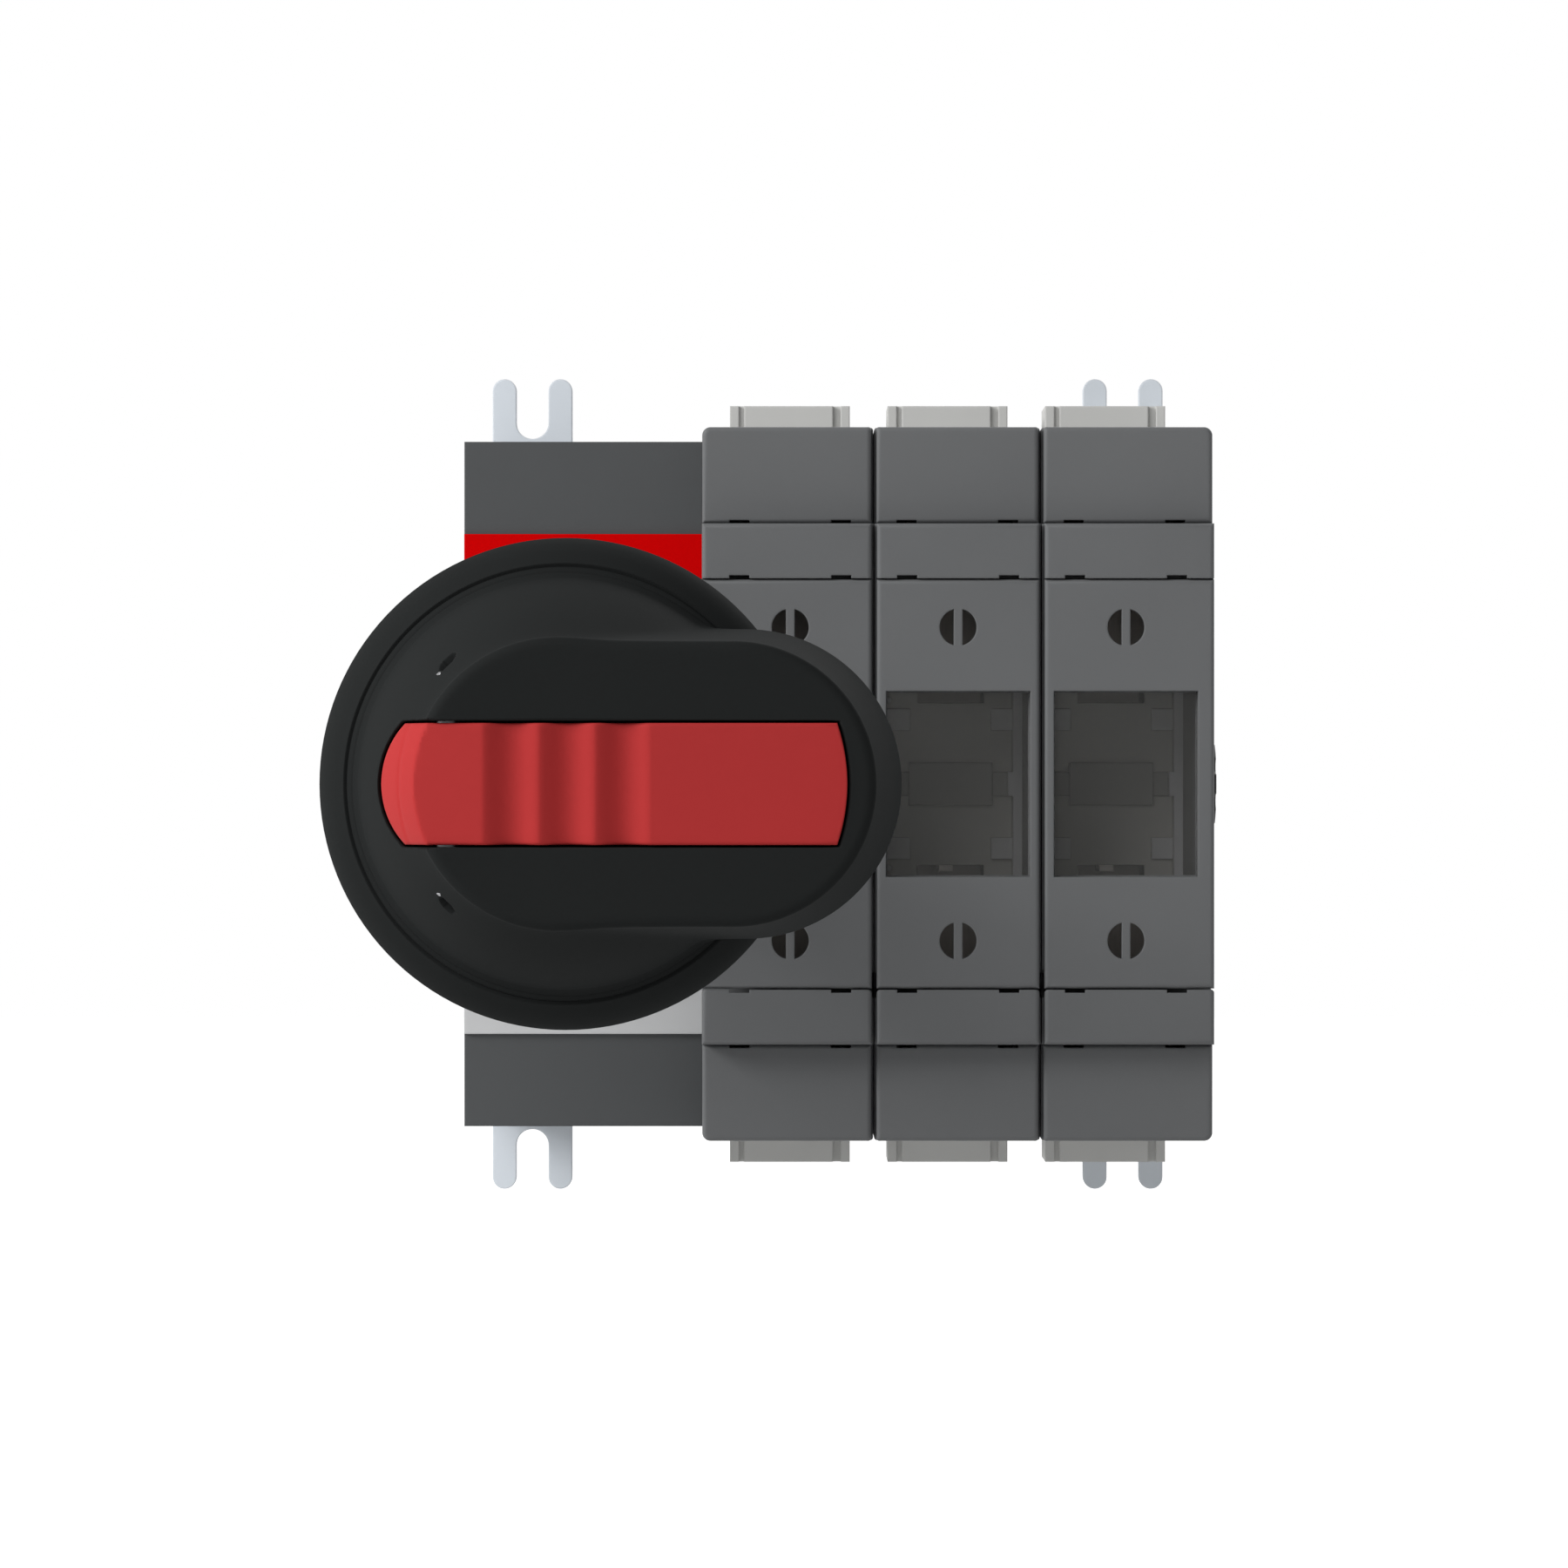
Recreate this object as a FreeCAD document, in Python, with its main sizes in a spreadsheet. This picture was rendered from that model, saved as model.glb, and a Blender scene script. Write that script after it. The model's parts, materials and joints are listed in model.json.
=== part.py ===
import FreeCAD, Part
import math
import os
import re

import Sketcher
from FreeCAD import Placement, Rotation, Vector

# Side-operated three-pole switch fuse with a door handle on an extension shaft.
# Millimetres. X is to the right, Z is up, and the front looks along -Y. The origin
# is on the mounting plane, at the middle of the four mounting slots. Depths count
# forward from that plane, so a depth is minus Y.

# Driving dimensions, one cell of the sheet each.
SIZES = {
    "pole_one_x": -5.9,
    "pole_pitch": 24.2,
    "pole_gap": 0.7,
    "side_extra": 0.65,
    "pole_half_height": 51.7,
    "base_depth": 30,
    "front_depth": 70,
    "terminal_step": 3.6,
    "base_side_wall": 1.6,
    "rear_wall": 3,
    "end_wall": 1.8,
    "corner_round": 1.2,
    "inner_round": 0.4,
    "groove_depth": 2.4,
    "edge_round": 0.7,
    "joint_gap": 0.15,
    "running_gap": 0.06,
    "bay_half_height": 29.65,
    "band_height": 7.95,
    "bay_half_width": 10.7,
    "bay_back_wall": 1.5,
    "cover_thickness": 2,
    "hinge_back": 3.5,
    "hinge_rise": 3.6,
    "hinge_pin_radius": 0.8,
    "hinge_eye_radius": 1.4,
    "hinge_lug_width": 3,
    "hinge_reach": 0.9,
    "window_frame": 1.2,
    "snap_half_width": 3,
    "snap_length": 3,
    "snap_thickness": 1.35,
    "window_half_width": 10.4,
    "window_half_height": 13.4,
    "window_lip": 1.1,
    "pane_thickness": 1.6,
    "pane_gap": 0.05,
    "probe_height": 22.6,
    "probe_radius": 2.67,
    "probe_bar": 1.25,
    "latch_slot_inner": 5.9,
    "latch_slot_outer": 8.8,
    "latch_slot_height": 0.45,
    "latch_slot_depth": 3,
    "vent_half_width": 6,
    "vent_gap": 1.2,
    "vent_pitch": 3.2,
    "panel_slot_low": 12.2,
    "panel_slot_high": 13.9,
    "panel_slot_half": 5,
    "panel_rib_half_width": 6.3,
    "panel_rib_half_height": 3.2,
    "panel_rib_proud": 1.2,
    "panel_arm_half_height": 1.8,
    "panel_pad_start": 6.1,
    "panel_pad_low": 8.1,
    "panel_pad_high": 11.3,
    "panel_pad_proud": 0.8,
    "panel_ledge_start": 9.3,
    "panel_ledge_bump": 0.7,
    "panel_ledge_proud": 2.5,
    "panel_ledge_half_height": 15,
    "panel_pip_radius": 0.45,
    "shaft_depth": 16.5,
    "shaft_square": 7,
    "bore_gap": 0.05,
    "rotor_radius": 10,
    "rotor_half_width": 9.5,
    "rotor_hub_radius": 6,
    "groove_radius": 8.5,
    "groove_half_width": 4.05,
    "bridge_radius": 11.2,
    "bridge_span": 60,
    "strip_thickness": 1.5,
    "strip_half_width": 4.8,
    "contact_offset": 3.9,
    "contact_start": 11.3,
    "bar_inset": 6.7,
    "clip_leg_start": 15.5,
    "clip_jaw_start": 17.3,
    "clip_end": 27,
    "clip_inner_half": 7.15,
    "clip_thickness": 1,
    "clip_height": 16,
    "clip_flare": 1.2,
    "test_tab_half_width": 1.1,
    "test_tab_offset": -0.7,
    "shroud_half_width": 9.2,
    "shroud_front_depth": 15.8,
    "shroud_wall": 1.5,
    "shroud_seat": 5.7,
    "shroud_proud": 6.3,
    "shroud_groove": 6.6,
    "shroud_groove_width": 1.2,
    "shroud_step": 7,
    "shroud_step_width": 0.8,
    "cage_inset": 10.2,
    "cage_half_length": 4,
    "cage_half_width": 6.5,
    "cage_wall": 1.3,
    "cage_front_depth": 15.5,
    "screw_radius": 2.4,
    "screw_head_radius": 3.8,
    "screw_head_depth": 17,
    "screw_head_height": 3,
    "tie_radius": 1.5,
    "tie_setback": 3,
    "tie_inset": 5.2,
    "nut_radius": 2.9,
    "nut_thickness": 1.5,
    "mech_width": 34.85,
    "mech_half_height": 50,
    "mech_wall": 2,
    "mech_floor": 4,
    "mech_front_depth": 59,
    "mech_plate_thickness": 0.6,
    "mech_pillar_width": 5,
    "hook_offset": 7,
    "hook_half_width": 2.5,
    "hook_thickness": 1.2,
    "hook_length": 6,
    "hook_barb": 1.8,
    "label_half_height": 36.5,
    "label_split": 22,
    "handle_axis_x": -36.1,
    "gear_teeth": 12,
    "gear_pitch_radius": 8,
    "pressure_angle": 25,
    "tooth_backlash": 0.12,
    "drive_gear_depth": 38,
    "drive_gear_width": 8,
    "drive_hub_radius": 6.5,
    "drive_journal_radius": 4,
    "gear_plate_depth": 28,
    "gear_plate_thickness": 2,
    "slide_width": 4.7,
    "slide_length": 25,
    "side_cap_radius": 7.3,
    "side_cap_height": 3.75,
    "side_cap_notches": 8,
    "side_cap_notch_radius": 1.3,
    "foot_x": 46,
    "foot_width": 12.4,
    "foot_thickness": 2,
    "slot_radius": 2.5,
    "slot_length": 6.8,
    "foot_proud": 11.4,
    "handle_shaft_square": 6,
    "shaft_bite": 4.5,
    "shaft_entry": 10.2,
    "flange_radius": 33,
    "flange_depth": 125.8,
    "flange_rim": 6.8,
    "flange_floor": 2.8,
    "flange_lip": 0.8,
    "flange_edge": 2.2,
    "flange_slope": 1.7,
    "dome_radius": 28.3,
    "dome_gap": 0.35,
    "dome_wall": 3.2,
    "dome_bulge": 1.7,
    "dome_top_radius": 18.7,
    "grip_height": 30.2,
    "edge_drop": 1.1,
    "edge_inset": 1.4,
    "hub_radius": 11,
    "hub_reach": 7.8,
    "ring_recess": 1.4,
    "ring_groove": 1,
    "ring_proud": 2.5,
    "set_screw_radius": 1.5,
    "grip_clearance": 0.4,
    "grip_foot_half_width": 20.6,
    "grip_foot_tip": 45,
    "grip_top_tip": 41.3,
    "gasket_inner": 29.4,
    "gasket_outer": 31.4,
    "gasket_thickness": 0.9,
    "screw_hole_radius": 1.6,
    "screw_hole_spacing": 36,
    "lever_left": 23.5,
    "lever_right": 37.5,
    "lever_half_width": 7.9,
    "lever_left_arc": 10.9,
    "lever_right_arc": 24.6,
    "lever_gap": 0.3,
    "lever_thickness": 9,
    "heel_thickness": 15,
    "heel_swing": 3.6,
    "heel_step": 1.6,
    "lever_proud": 0.2,
    "pivot_offset": 14.6,
    "pivot_sink": 6.5,
    "pivot_radius": 1.5,
    "pivot_half_length": 15.2,
    "scallop_pitch": 6.5,
    "scallop_first": -4.95,
    "scallop_radius": 5,
    "scallop_depth": 1.2,
}

doc = FreeCAD.newDocument("switch_fuse")
sheet = doc.addObject("Spreadsheet::Sheet", "sizes")
for row, (alias, number) in enumerate(SIZES.items(), start=1):
    sheet.set(f"A{row}", alias)
    sheet.set(f"B{row}", str(number))
    sheet.setAlias(f"B{row}", alias)
doc.recompute()

WORD = re.compile(r"[a-z][a-z_]+")
nodes = []


def bound(text):
    """The expression with each size's name read from the sheet."""
    return WORD.sub(lambda m: "sizes." + m[0] if m[0] in SIZES else m[0], text)


def value(text):
    """The number that an expression gives now."""
    return float(sheet.evalExpression(bound(text)))


def tie(thing, prop, text):
    """Bind one property of an object to an expression."""
    thing.setExpression(prop, bound(text))


def between(middle, half):
    """A span that lies evenly about a middle."""
    return f"{middle} - ({half})", f"{middle} + ({half})"


def on_side(side, low, high):
    """A span above the middle, or its mirror image below."""
    return (low, high) if side > 0 else (f"-({high})", f"-({low})")


def block(x, d, z):
    """A box between two places along X, depth and Z."""
    box = doc.addObject("Part::Box", "block")
    tie(box, "Length", f"({x[1]}) - ({x[0]})")
    tie(box, "Width", f"({d[1]}) - ({d[0]})")
    tie(box, "Height", f"({z[1]}) - ({z[0]})")
    tie(box, "Placement.Base.x", x[0])
    tie(box, "Placement.Base.y", f"-({d[1]})")
    tie(box, "Placement.Base.z", z[0])
    return box


ALONG = {
    "x": Rotation(Vector(0, 1, 0), 90),
    "depth": Rotation(Vector(1, 0, 0), 90),
    "z": Rotation(),
}


def rod(along, radius, span, x="0", d="0", z="0"):
    """A cylinder along X, depth or Z between two places."""
    start, end = span
    rod_part = doc.addObject("Part::Cylinder", "rod")
    tie(rod_part, "Radius", radius)
    tie(rod_part, "Height", f"({end}) - ({start})")
    rod_part.Placement = Placement(Vector(), ALONG[along])
    place = {"x": x, "depth": d, "z": z}
    place[along] = start
    tie(rod_part, "Placement.Base.x", place["x"])
    tie(rod_part, "Placement.Base.y", f"-({place['depth']})")
    tie(rod_part, "Placement.Base.z", place["z"])
    return rod_part


def fuse(*shapes):
    joined = doc.addObject("Part::MultiFuse", "joined")
    joined.Shapes = list(shapes)
    joined.Refine = True
    return joined


def cut(base, *tools):
    whole = doc.addObject("Part::Cut", "trimmed")
    whole.Base = base
    whole.Tool = tools[0] if len(tools) == 1 else fuse(*tools)
    whole.Refine = True
    return whole


def common(first, second):
    shared = doc.addObject("Part::MultiCommon", "shared")
    shared.Shapes = [first, second]
    return shared


def group(*shapes):
    """Several separate solids in one piece."""
    held = doc.addObject("Part::Compound", "group")
    held.Links = list(shapes)
    return held


def rounded(base, **picked):
    """Round straight edges: each size with a test that both ends of its edges pass."""
    doc.recompute()
    edges = []
    for number, edge in enumerate(base.Shape.Edges, start=1):
        ends = [vertex.Point for vertex in edge.Vertexes]
        for size, test in picked.items():
            if len(ends) == 2 and all(test(end) for end in ends):
                edges.append((number, value(size), value(size)))
    soft = doc.addObject("Part::Fillet", "rounded")
    soft.Base = base
    soft.Edges = edges
    return soft


def node(name, thing):
    """Label a finished piece with the name of its file."""
    thing.Label = name
    nodes.append(thing)
    return thing


def near(number, text):
    return abs(number - value(text)) < 0.01


# Where the poles stand. The two outer flanks carry an end plate's extra thickness.
POLES = (0, 1, 2)
SIDES = (1, -1)


def centre(pole):
    return f"(pole_one_x + {pole} * pole_pitch)"


def pole_span(pole, gap="0"):
    """A pole's left and right faces, drawn in by a gap towards its neighbours."""
    left = f"{centre(pole)} - pole_pitch / 2"
    right = f"{centre(pole)} + pole_pitch / 2"
    left += " - side_extra" if pole == 0 else f" + {gap} / 2"
    right += " + side_extra" if pole == 2 else f" - {gap} / 2"
    return left, right


COVER_BACK = "(front_depth - cover_thickness)"
BAY_BACK = "(base_depth + bay_back_wall)"
BAND_HALF = "(bay_half_height + band_height)"
TERMINAL_FACE = "(front_depth - terminal_step)"
COVER_EDGE = "(bay_half_height - joint_gap)"
HINGE_DEPTH = "(front_depth - hinge_back)"
HINGE_HEIGHT = "(hinge_rise + joint_gap - bay_half_height)"
HINGE_SWEEP = "(sqrt(hinge_back * hinge_back + hinge_rise * hinge_rise) + running_gap)"
CHAMBER_HALF = "(pole_pitch / 2 - base_side_wall)"
WELL_END = "(pole_half_height - end_wall)"
CAGE_CENTRE = "(pole_half_height - cage_inset)"
TIE_HEIGHT = "(pole_half_height - tie_inset)"
TIE_DEPTH = "(base_depth - tie_setback)"
FOOT_REACH = "(pole_half_height + foot_proud)"
SLOT_HEIGHT = "(pole_half_height + foot_proud - slot_length)"
MECH_RIGHT = "(pole_one_x - pole_pitch / 2 - side_extra)"
MECH_LEFT = "(pole_one_x - pole_pitch / 2 - side_extra - mech_width)"
POLES_RIGHT = "(pole_one_x + 2.5 * pole_pitch + side_extra)"
BEYOND = "1"


def front_edge(span, depth):
    """A test for the two upright edges of a front face."""
    return lambda p: near(p.y, f"-{depth}") and (near(p.x, span[0]) or near(p.x, span[1]))


def end_corner(flanks):
    """A test for the edges along the depth where an end face meets given flanks."""
    return lambda p: near(abs(p.z), "pole_half_height") and any(near(p.x, x) for x in flanks)


def bearing_slot(span, radius):
    """An open-fronted bearing for the cross shaft: a round seat and its way in."""
    seat = rod("x", radius, span, d="shaft_depth")
    way = block(span, ("shaft_depth", f"base_depth + {BEYOND}"), between("0", radius))
    return fuse(seat, way)


def pole_base(pole):
    """Rear moulding of one pole: switch chamber, terminal wells, shaft bearings."""
    left, right = pole_span(pole)
    middle = centre(pole)
    through = (f"{left} - {BEYOND}", f"{right} + {BEYOND}")
    whole = block((left, right), ("0", "base_depth"), between("0", "pole_half_height"))
    tools = [
        block(between(middle, CHAMBER_HALF), ("rear_wall", f"base_depth + {BEYOND}"),
              between("0", WELL_END)),
        bearing_slot(through, "rotor_hub_radius + running_gap"),
    ]
    for side in SIDES:
        tools.append(block(
            between(middle, "shroud_half_width"), ("rear_wall", "shroud_front_depth"),
            on_side(side, f"{WELL_END} - {BEYOND}", f"pole_half_height + {BEYOND}")))
        tools.append(rod("x", "tie_radius + running_gap", through, d=TIE_DEPTH,
                         z=f"{side} * {TIE_HEIGHT}"))
        if pole == 2:
            tools.append(rod("x", "nut_radius + joint_gap", NUT_RECESS, d=TIE_DEPTH,
                             z=f"{side} * {TIE_HEIGHT}"))
    if pole == 2:
        tools.append(foot_groove("foot_x", "pole_half_height"))
    return cut(outline_of(pole, whole, left, right), *tools)


def outline_of(pole, whole, left, right, **others):
    """A block of one pole with its end corners rounded, most at the row's outer flanks."""
    inner = [side for side, last in ((left, 0), (right, 2)) if pole != last]
    outer = [side for side, last in ((left, 0), (right, 2)) if pole == last]
    return rounded(whole, corner_round=end_corner(outer), inner_round=end_corner(inner), **others)


NUT_RECESS = (f"{POLES_RIGHT} - nut_thickness - joint_gap", f"{POLES_RIGHT} + {BEYOND}")


def foot_groove(x, half_height):
    """The groove in a back face that holds a mounting rail."""
    return block(between(x, "foot_width / 2 + bore_gap"), (f"-{BEYOND}", "foot_thickness"),
                 between("0", f"{half_height} + {BEYOND}"))


def pole_body(pole):
    """Front moulding of one pole: the fuse bay with its back panel and hinge eyes."""
    left, right = pole_span(pole, "pole_gap")
    middle = centre(pole)
    through = (f"{left} - {BEYOND}", f"{right} + {BEYOND}")
    whole = block((left, right), ("base_depth", "front_depth"), between("0", BAND_HALF))
    whole = rounded(whole, edge_round=front_edge((left, right), "front_depth"))
    bay = block(between(middle, "bay_half_width"), (BAY_BACK, f"front_depth + {BEYOND}"),
                between("0", "bay_half_height"))
    step = block(through, (COVER_BACK, f"front_depth + {BEYOND}"), between("0", "bay_half_height"))
    whole = fuse(whole, *flank_ribs(pole, "front_depth", between("0", BAND_HALF)))
    solids = [cut(whole, bay, step, *hinge_room(through)), *panel_details(middle)]
    for side in SIDES:
        keeper = (f"{middle} + {side} * ({CHAMBER_HALF} + joint_gap)",
                  right if side > 0 else left)
        keeper = keeper if side > 0 else keeper[::-1]
        solids.append(block(
            keeper,
            ("shaft_depth + rotor_hub_radius + 2 * joint_gap", "base_depth"),
            between("0", "rotor_hub_radius - joint_gap")))
    tools = [rod("x", "hinge_pin_radius + running_gap", through, d=HINGE_DEPTH, z=HINGE_HEIGHT)]
    for level in SIDES:
        tools.append(block(
            between(middle, "panel_slot_half"), (f"base_depth - {BEYOND}", f"{BAY_BACK} + {BEYOND}"),
            on_side(level, "panel_slot_low", "panel_slot_high")))
        tools.append(block(
            between(middle, "strip_half_width + bore_gap"),
            (f"base_depth - {BEYOND}", f"{BAY_BACK} + {BEYOND}"),
            on_side(level, "clip_leg_start - bore_gap",
                    "clip_leg_start + strip_thickness + bore_gap")))
        for side in SIDES:
            tools.append(latch_slot(middle, side, level, "bay_half_height", "front_depth"))
    return cut(fuse(*solids), *tools)


def flank_ribs(pole, face, height):
    """The flanks that face another pole stand out behind the front, and nearly meet at the
    foot of the groove between the two poles."""
    left, right = pole_span(pole, "joint_gap")
    middle = centre(pole)
    depth = ("base_depth", f"{face} - groove_depth")
    ribs = []
    if pole > 0:
        ribs.append(block((left, f"{middle} - bay_half_width"), depth, height))
    if pole < 2:
        ribs.append(block((f"{middle} + bay_half_width", right), depth, height))
    return ribs


def hinge_room(through):
    """Room for the cover's lower edge to swing in: round eyes on the side walls, and a
    hollow behind the lip of the band below."""
    axis = {"d": HINGE_DEPTH, "z": HINGE_HEIGHT}
    deep = f"{HINGE_DEPTH} - {HINGE_SWEEP}"
    below = block(through, (deep, f"{COVER_BACK} + {BEYOND}"), ("-bay_half_height", HINGE_HEIGHT))
    hollow = common(rod("x", HINGE_SWEEP, through, **axis),
                    block(through, (deep, "front_depth"),
                          (f"{HINGE_HEIGHT} - {HINGE_SWEEP}", "-bay_half_height + joint_gap")))
    return cut(below, rod("x", "hinge_eye_radius", through, **axis)), hollow


def panel_details(middle):
    """What stands on the back panel of a fuse bay and shows through the window."""
    pad_top = f"{BAY_BACK} + panel_pad_proud"
    ledge = f"{middle} + panel_ledge_start"
    flank = f"{middle} + bay_half_width"
    details = [
        block(between(middle, "panel_rib_half_width"), (BAY_BACK, f"{BAY_BACK} + panel_rib_proud"),
              between("0", "panel_rib_half_height")),
        block(between(middle, "bay_half_width"), (BAY_BACK, pad_top),
              between("0", "panel_arm_half_height")),
        block((ledge, flank), (BAY_BACK, f"{BAY_BACK} + panel_ledge_proud"),
              between("0", "panel_ledge_half_height")),
        block((f"{ledge} - panel_ledge_bump", flank), (BAY_BACK, f"{BAY_BACK} + panel_ledge_proud"),
              between("0", "panel_arm_half_height")),
    ]
    for level in SIDES:
        details.append(rod("depth", "panel_pip_radius", (BAY_BACK, pad_top),
                           x=f"{middle} - panel_ledge_start",
                           z=f"{level} * (panel_slot_low + panel_pip_radius)"))
        for side in SIDES:
            pad = (f"{middle} + {side} * bay_half_width", f"{middle} + {side} * panel_pad_start")
            details.append(block(pad if side < 0 else pad[::-1], (BAY_BACK, pad_top),
                                 on_side(level, "panel_pad_low", "panel_pad_high")))
    return details


def latch_slot(middle, side, level, height, face):
    """One of the narrow slots that a screwdriver or a latch tongue enters."""
    ends = [f"{middle} + {side} * latch_slot_inner", f"{middle} + {side} * latch_slot_outer"]
    return block(ends if side > 0 else ends[::-1],
                 (f"{face} - latch_slot_depth", f"{face} + {BEYOND}"),
                 on_side(level, f"{height} - joint_gap", f"{height} + latch_slot_height"))


def terminal_cover(pole, level):
    """Clip-on cap over the terminal screws at one end of a pole."""
    left, right = pole_span(pole, "pole_gap")
    middle = centre(pole)
    inner = f"{BAND_HALF} + joint_gap"
    whole = block((left, right), ("base_depth", TERMINAL_FACE),
                  on_side(level, inner, "pole_half_height"))
    whole = outline_of(pole, whole, left, right,
                       edge_round=front_edge((left, right), TERMINAL_FACE))
    tools = [block(between(middle, "bay_half_width"),
                   (f"base_depth - {BEYOND}", f"{TERMINAL_FACE} - cover_thickness"),
                   on_side(level, f"{BAND_HALF} - {BEYOND}", WELL_END))]
    for side in SIDES:
        tools.append(latch_slot(middle, side, level, inner, TERMINAL_FACE))
    for slit in (-1, 0, 1):
        tools.append(block(
            between(middle, "vent_half_width"),
            between(f"(base_depth + {TERMINAL_FACE}) / 2 + {slit} * vent_pitch", "vent_gap / 2"),
            on_side(level, f"{WELL_END} - {BEYOND}", f"pole_half_height + {BEYOND}")))
    flanks = end_corner(pole_span(pole, "joint_gap"))
    ribs = [rounded(rib, inner_round=flanks)
            for rib in flank_ribs(pole, TERMINAL_FACE, on_side(level, inner, "pole_half_height"))]
    return cut(fuse(whole, *ribs), *tools)


def fuse_cover(pole):
    """Hinged fuse cover with a window, two probe holes and a snap tongue."""
    left, right = pole_span(pole, "pole_gap")
    middle = centre(pole)
    leaf_half = "(bay_half_width - joint_gap)"
    plate = block((left, right), (COVER_BACK, "front_depth"), between("0", COVER_EDGE))
    solids = [
        rounded(plate, edge_round=front_edge((left, right), "front_depth")),
        block(between(middle, leaf_half), (f"{COVER_BACK} - window_frame", COVER_BACK),
              between("0", "window_half_height + window_lip")),
        block(between(middle, "snap_half_width"), (f"{COVER_BACK} - snap_length", COVER_BACK),
              (f"{COVER_EDGE} - joint_gap - snap_thickness", f"{COVER_EDGE} - joint_gap")),
    ]
    axis = {"d": HINGE_DEPTH, "z": HINGE_HEIGHT}
    for side in SIDES:
        lug = on_side(side, f"({leaf_half} - hinge_lug_width)", leaf_half)
        pin = on_side(side, f"({leaf_half} - hinge_lug_width)", f"({leaf_half} + hinge_reach)")
        lug, pin = [[f"{middle} + {end}" for end in span] for span in (lug, pin)]
        solids += [
            block(lug, (HINGE_DEPTH, COVER_BACK), between(HINGE_HEIGHT, "hinge_eye_radius")),
            rod("x", "hinge_eye_radius", lug, **axis),
            rod("x", "hinge_pin_radius", pin, **axis),
        ]
    tools = [
        block(between(middle, "window_half_width"), (COVER_BACK, f"front_depth + {BEYOND}"),
              between("0", "window_half_height")),
        block(between(middle, "window_half_width - window_lip"),
              (f"{COVER_BACK} - window_frame - {BEYOND}", f"{COVER_BACK} + {BEYOND}"),
              between("0", "window_half_height - window_lip")),
    ]
    for side in SIDES:
        hole = rod("depth", "probe_radius", (f"{COVER_BACK} - {BEYOND}", f"front_depth + {BEYOND}"),
                   x=middle, z=f"{side} * probe_height")
        bar = block(between(middle, "probe_bar / 2"),
                    (f"{COVER_BACK} - 2 * {BEYOND}", f"front_depth + 2 * {BEYOND}"),
                    between(f"{side} * probe_height", "2 * probe_radius"))
        tools.append(cut(hole, bar))
    return cut(fuse(*solids), *tools)


def window_pane(pole):
    """Smoked pane that drops into the cover from the front and rests on its lip."""
    return block(between(centre(pole), "window_half_width - pane_gap"),
                 (COVER_BACK, f"{COVER_BACK} + pane_thickness"),
                 between("0", "window_half_height - pane_gap"))


def square_bore(span):
    half = "shaft_square / 2 + bore_gap"
    return block(span, between("shaft_depth", half), between("0", half))


def rotor(pole):
    """Moulded contact carrier of one pole, driven by the square cross shaft."""
    middle = centre(pole)
    left, right = pole_span(pole)
    ends = (f"{left} + bore_gap", f"{right} - bore_gap")
    barrel = rod("x", "rotor_radius", between(middle, "rotor_half_width"), d="shaft_depth")
    ring = cut(
        rod("x", f"rotor_radius + {BEYOND}", between(middle, "groove_half_width"),
            d="shaft_depth"),
        rod("x", "groove_radius", between(middle, f"groove_half_width + {BEYOND}"),
            d="shaft_depth"))
    hub = rod("x", "rotor_hub_radius", ends, d="shaft_depth")
    bore = square_bore((f"{left} - {BEYOND}", f"{right} + {BEYOND}"))
    return cut(fuse(barrel, hub), ring, bore)


def contact_bridges(pole):
    """The two copper bridges let into the rotor, turned clear of the fixed contacts."""
    middle = centre(pole)
    arcs = []
    for facing in (90, 270):
        arc = rod("x", "bridge_radius", between(middle, "groove_half_width - bore_gap"),
                  d="shaft_depth")
        tie(arc, "Angle", "bridge_span")
        start = facing - value("bridge_span") / 2
        arc.Placement.Rotation = Rotation(Vector(1, 0, 0), start) * ALONG["x"]
        core = rod("x", "groove_radius", between(middle, f"groove_half_width + {BEYOND}"),
                   d="shaft_depth")
        arcs.append(cut(arc, core))
    return group(*arcs)


def terminal_bars(pole):
    """Copper bars from the rear fixed contacts out to the clamp terminals."""
    rear = "shaft_depth - contact_offset - strip_thickness"
    return group(*[
        block(between(centre(pole), "strip_half_width"), (rear, f"{rear} + strip_thickness"),
              on_side(level, "contact_start", "(pole_half_height - bar_inset)"))
        for level in SIDES])


def fuse_clips(pole):
    """Sprung copper clips for the fuse-link, each in one piece with its contact leg."""
    middle = centre(pole)
    leg_depth = "shaft_depth + contact_offset"
    seat = f"{BAY_BACK} + clip_thickness"
    clips = []
    for level in SIDES:
        solids = [
            block(between(middle, "strip_half_width"),
                  (leg_depth, f"{leg_depth} + strip_thickness"),
                  on_side(level, "contact_start", "clip_leg_start + strip_thickness")),
            block(between(middle, "strip_half_width"), (leg_depth, seat),
                  on_side(level, "clip_leg_start", "clip_leg_start + strip_thickness")),
            block(between(middle, "clip_inner_half + clip_thickness"), (BAY_BACK, seat),
                  on_side(level, "clip_leg_start", "clip_end")),
        ]
        for side in SIDES:
            jaw = [f"{middle} + {side} * clip_inner_half",
                   f"{middle} + {side} * (clip_inner_half + clip_thickness)"]
            flare = [jaw[0], f"{middle} + {side} * (clip_inner_half + clip_thickness + clip_flare)"]
            top = f"{BAY_BACK} + clip_height"
            for across, low in ((jaw, BAY_BACK), (flare, f"{top} - clip_thickness")):
                solids.append(block(across if side > 0 else across[::-1], (low, top),
                                    on_side(level, "clip_jaw_start", "clip_end")))
        if level < 0:
            solids.append(block(
                between(f"{middle} + test_tab_offset", "test_tab_half_width"),
                (leg_depth, f"{BAY_BACK} - joint_gap"),
                on_side(level, "panel_slot_low", "panel_slot_low + clip_thickness")))
        clips.append(fuse(*solids))
    return group(*clips)


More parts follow.
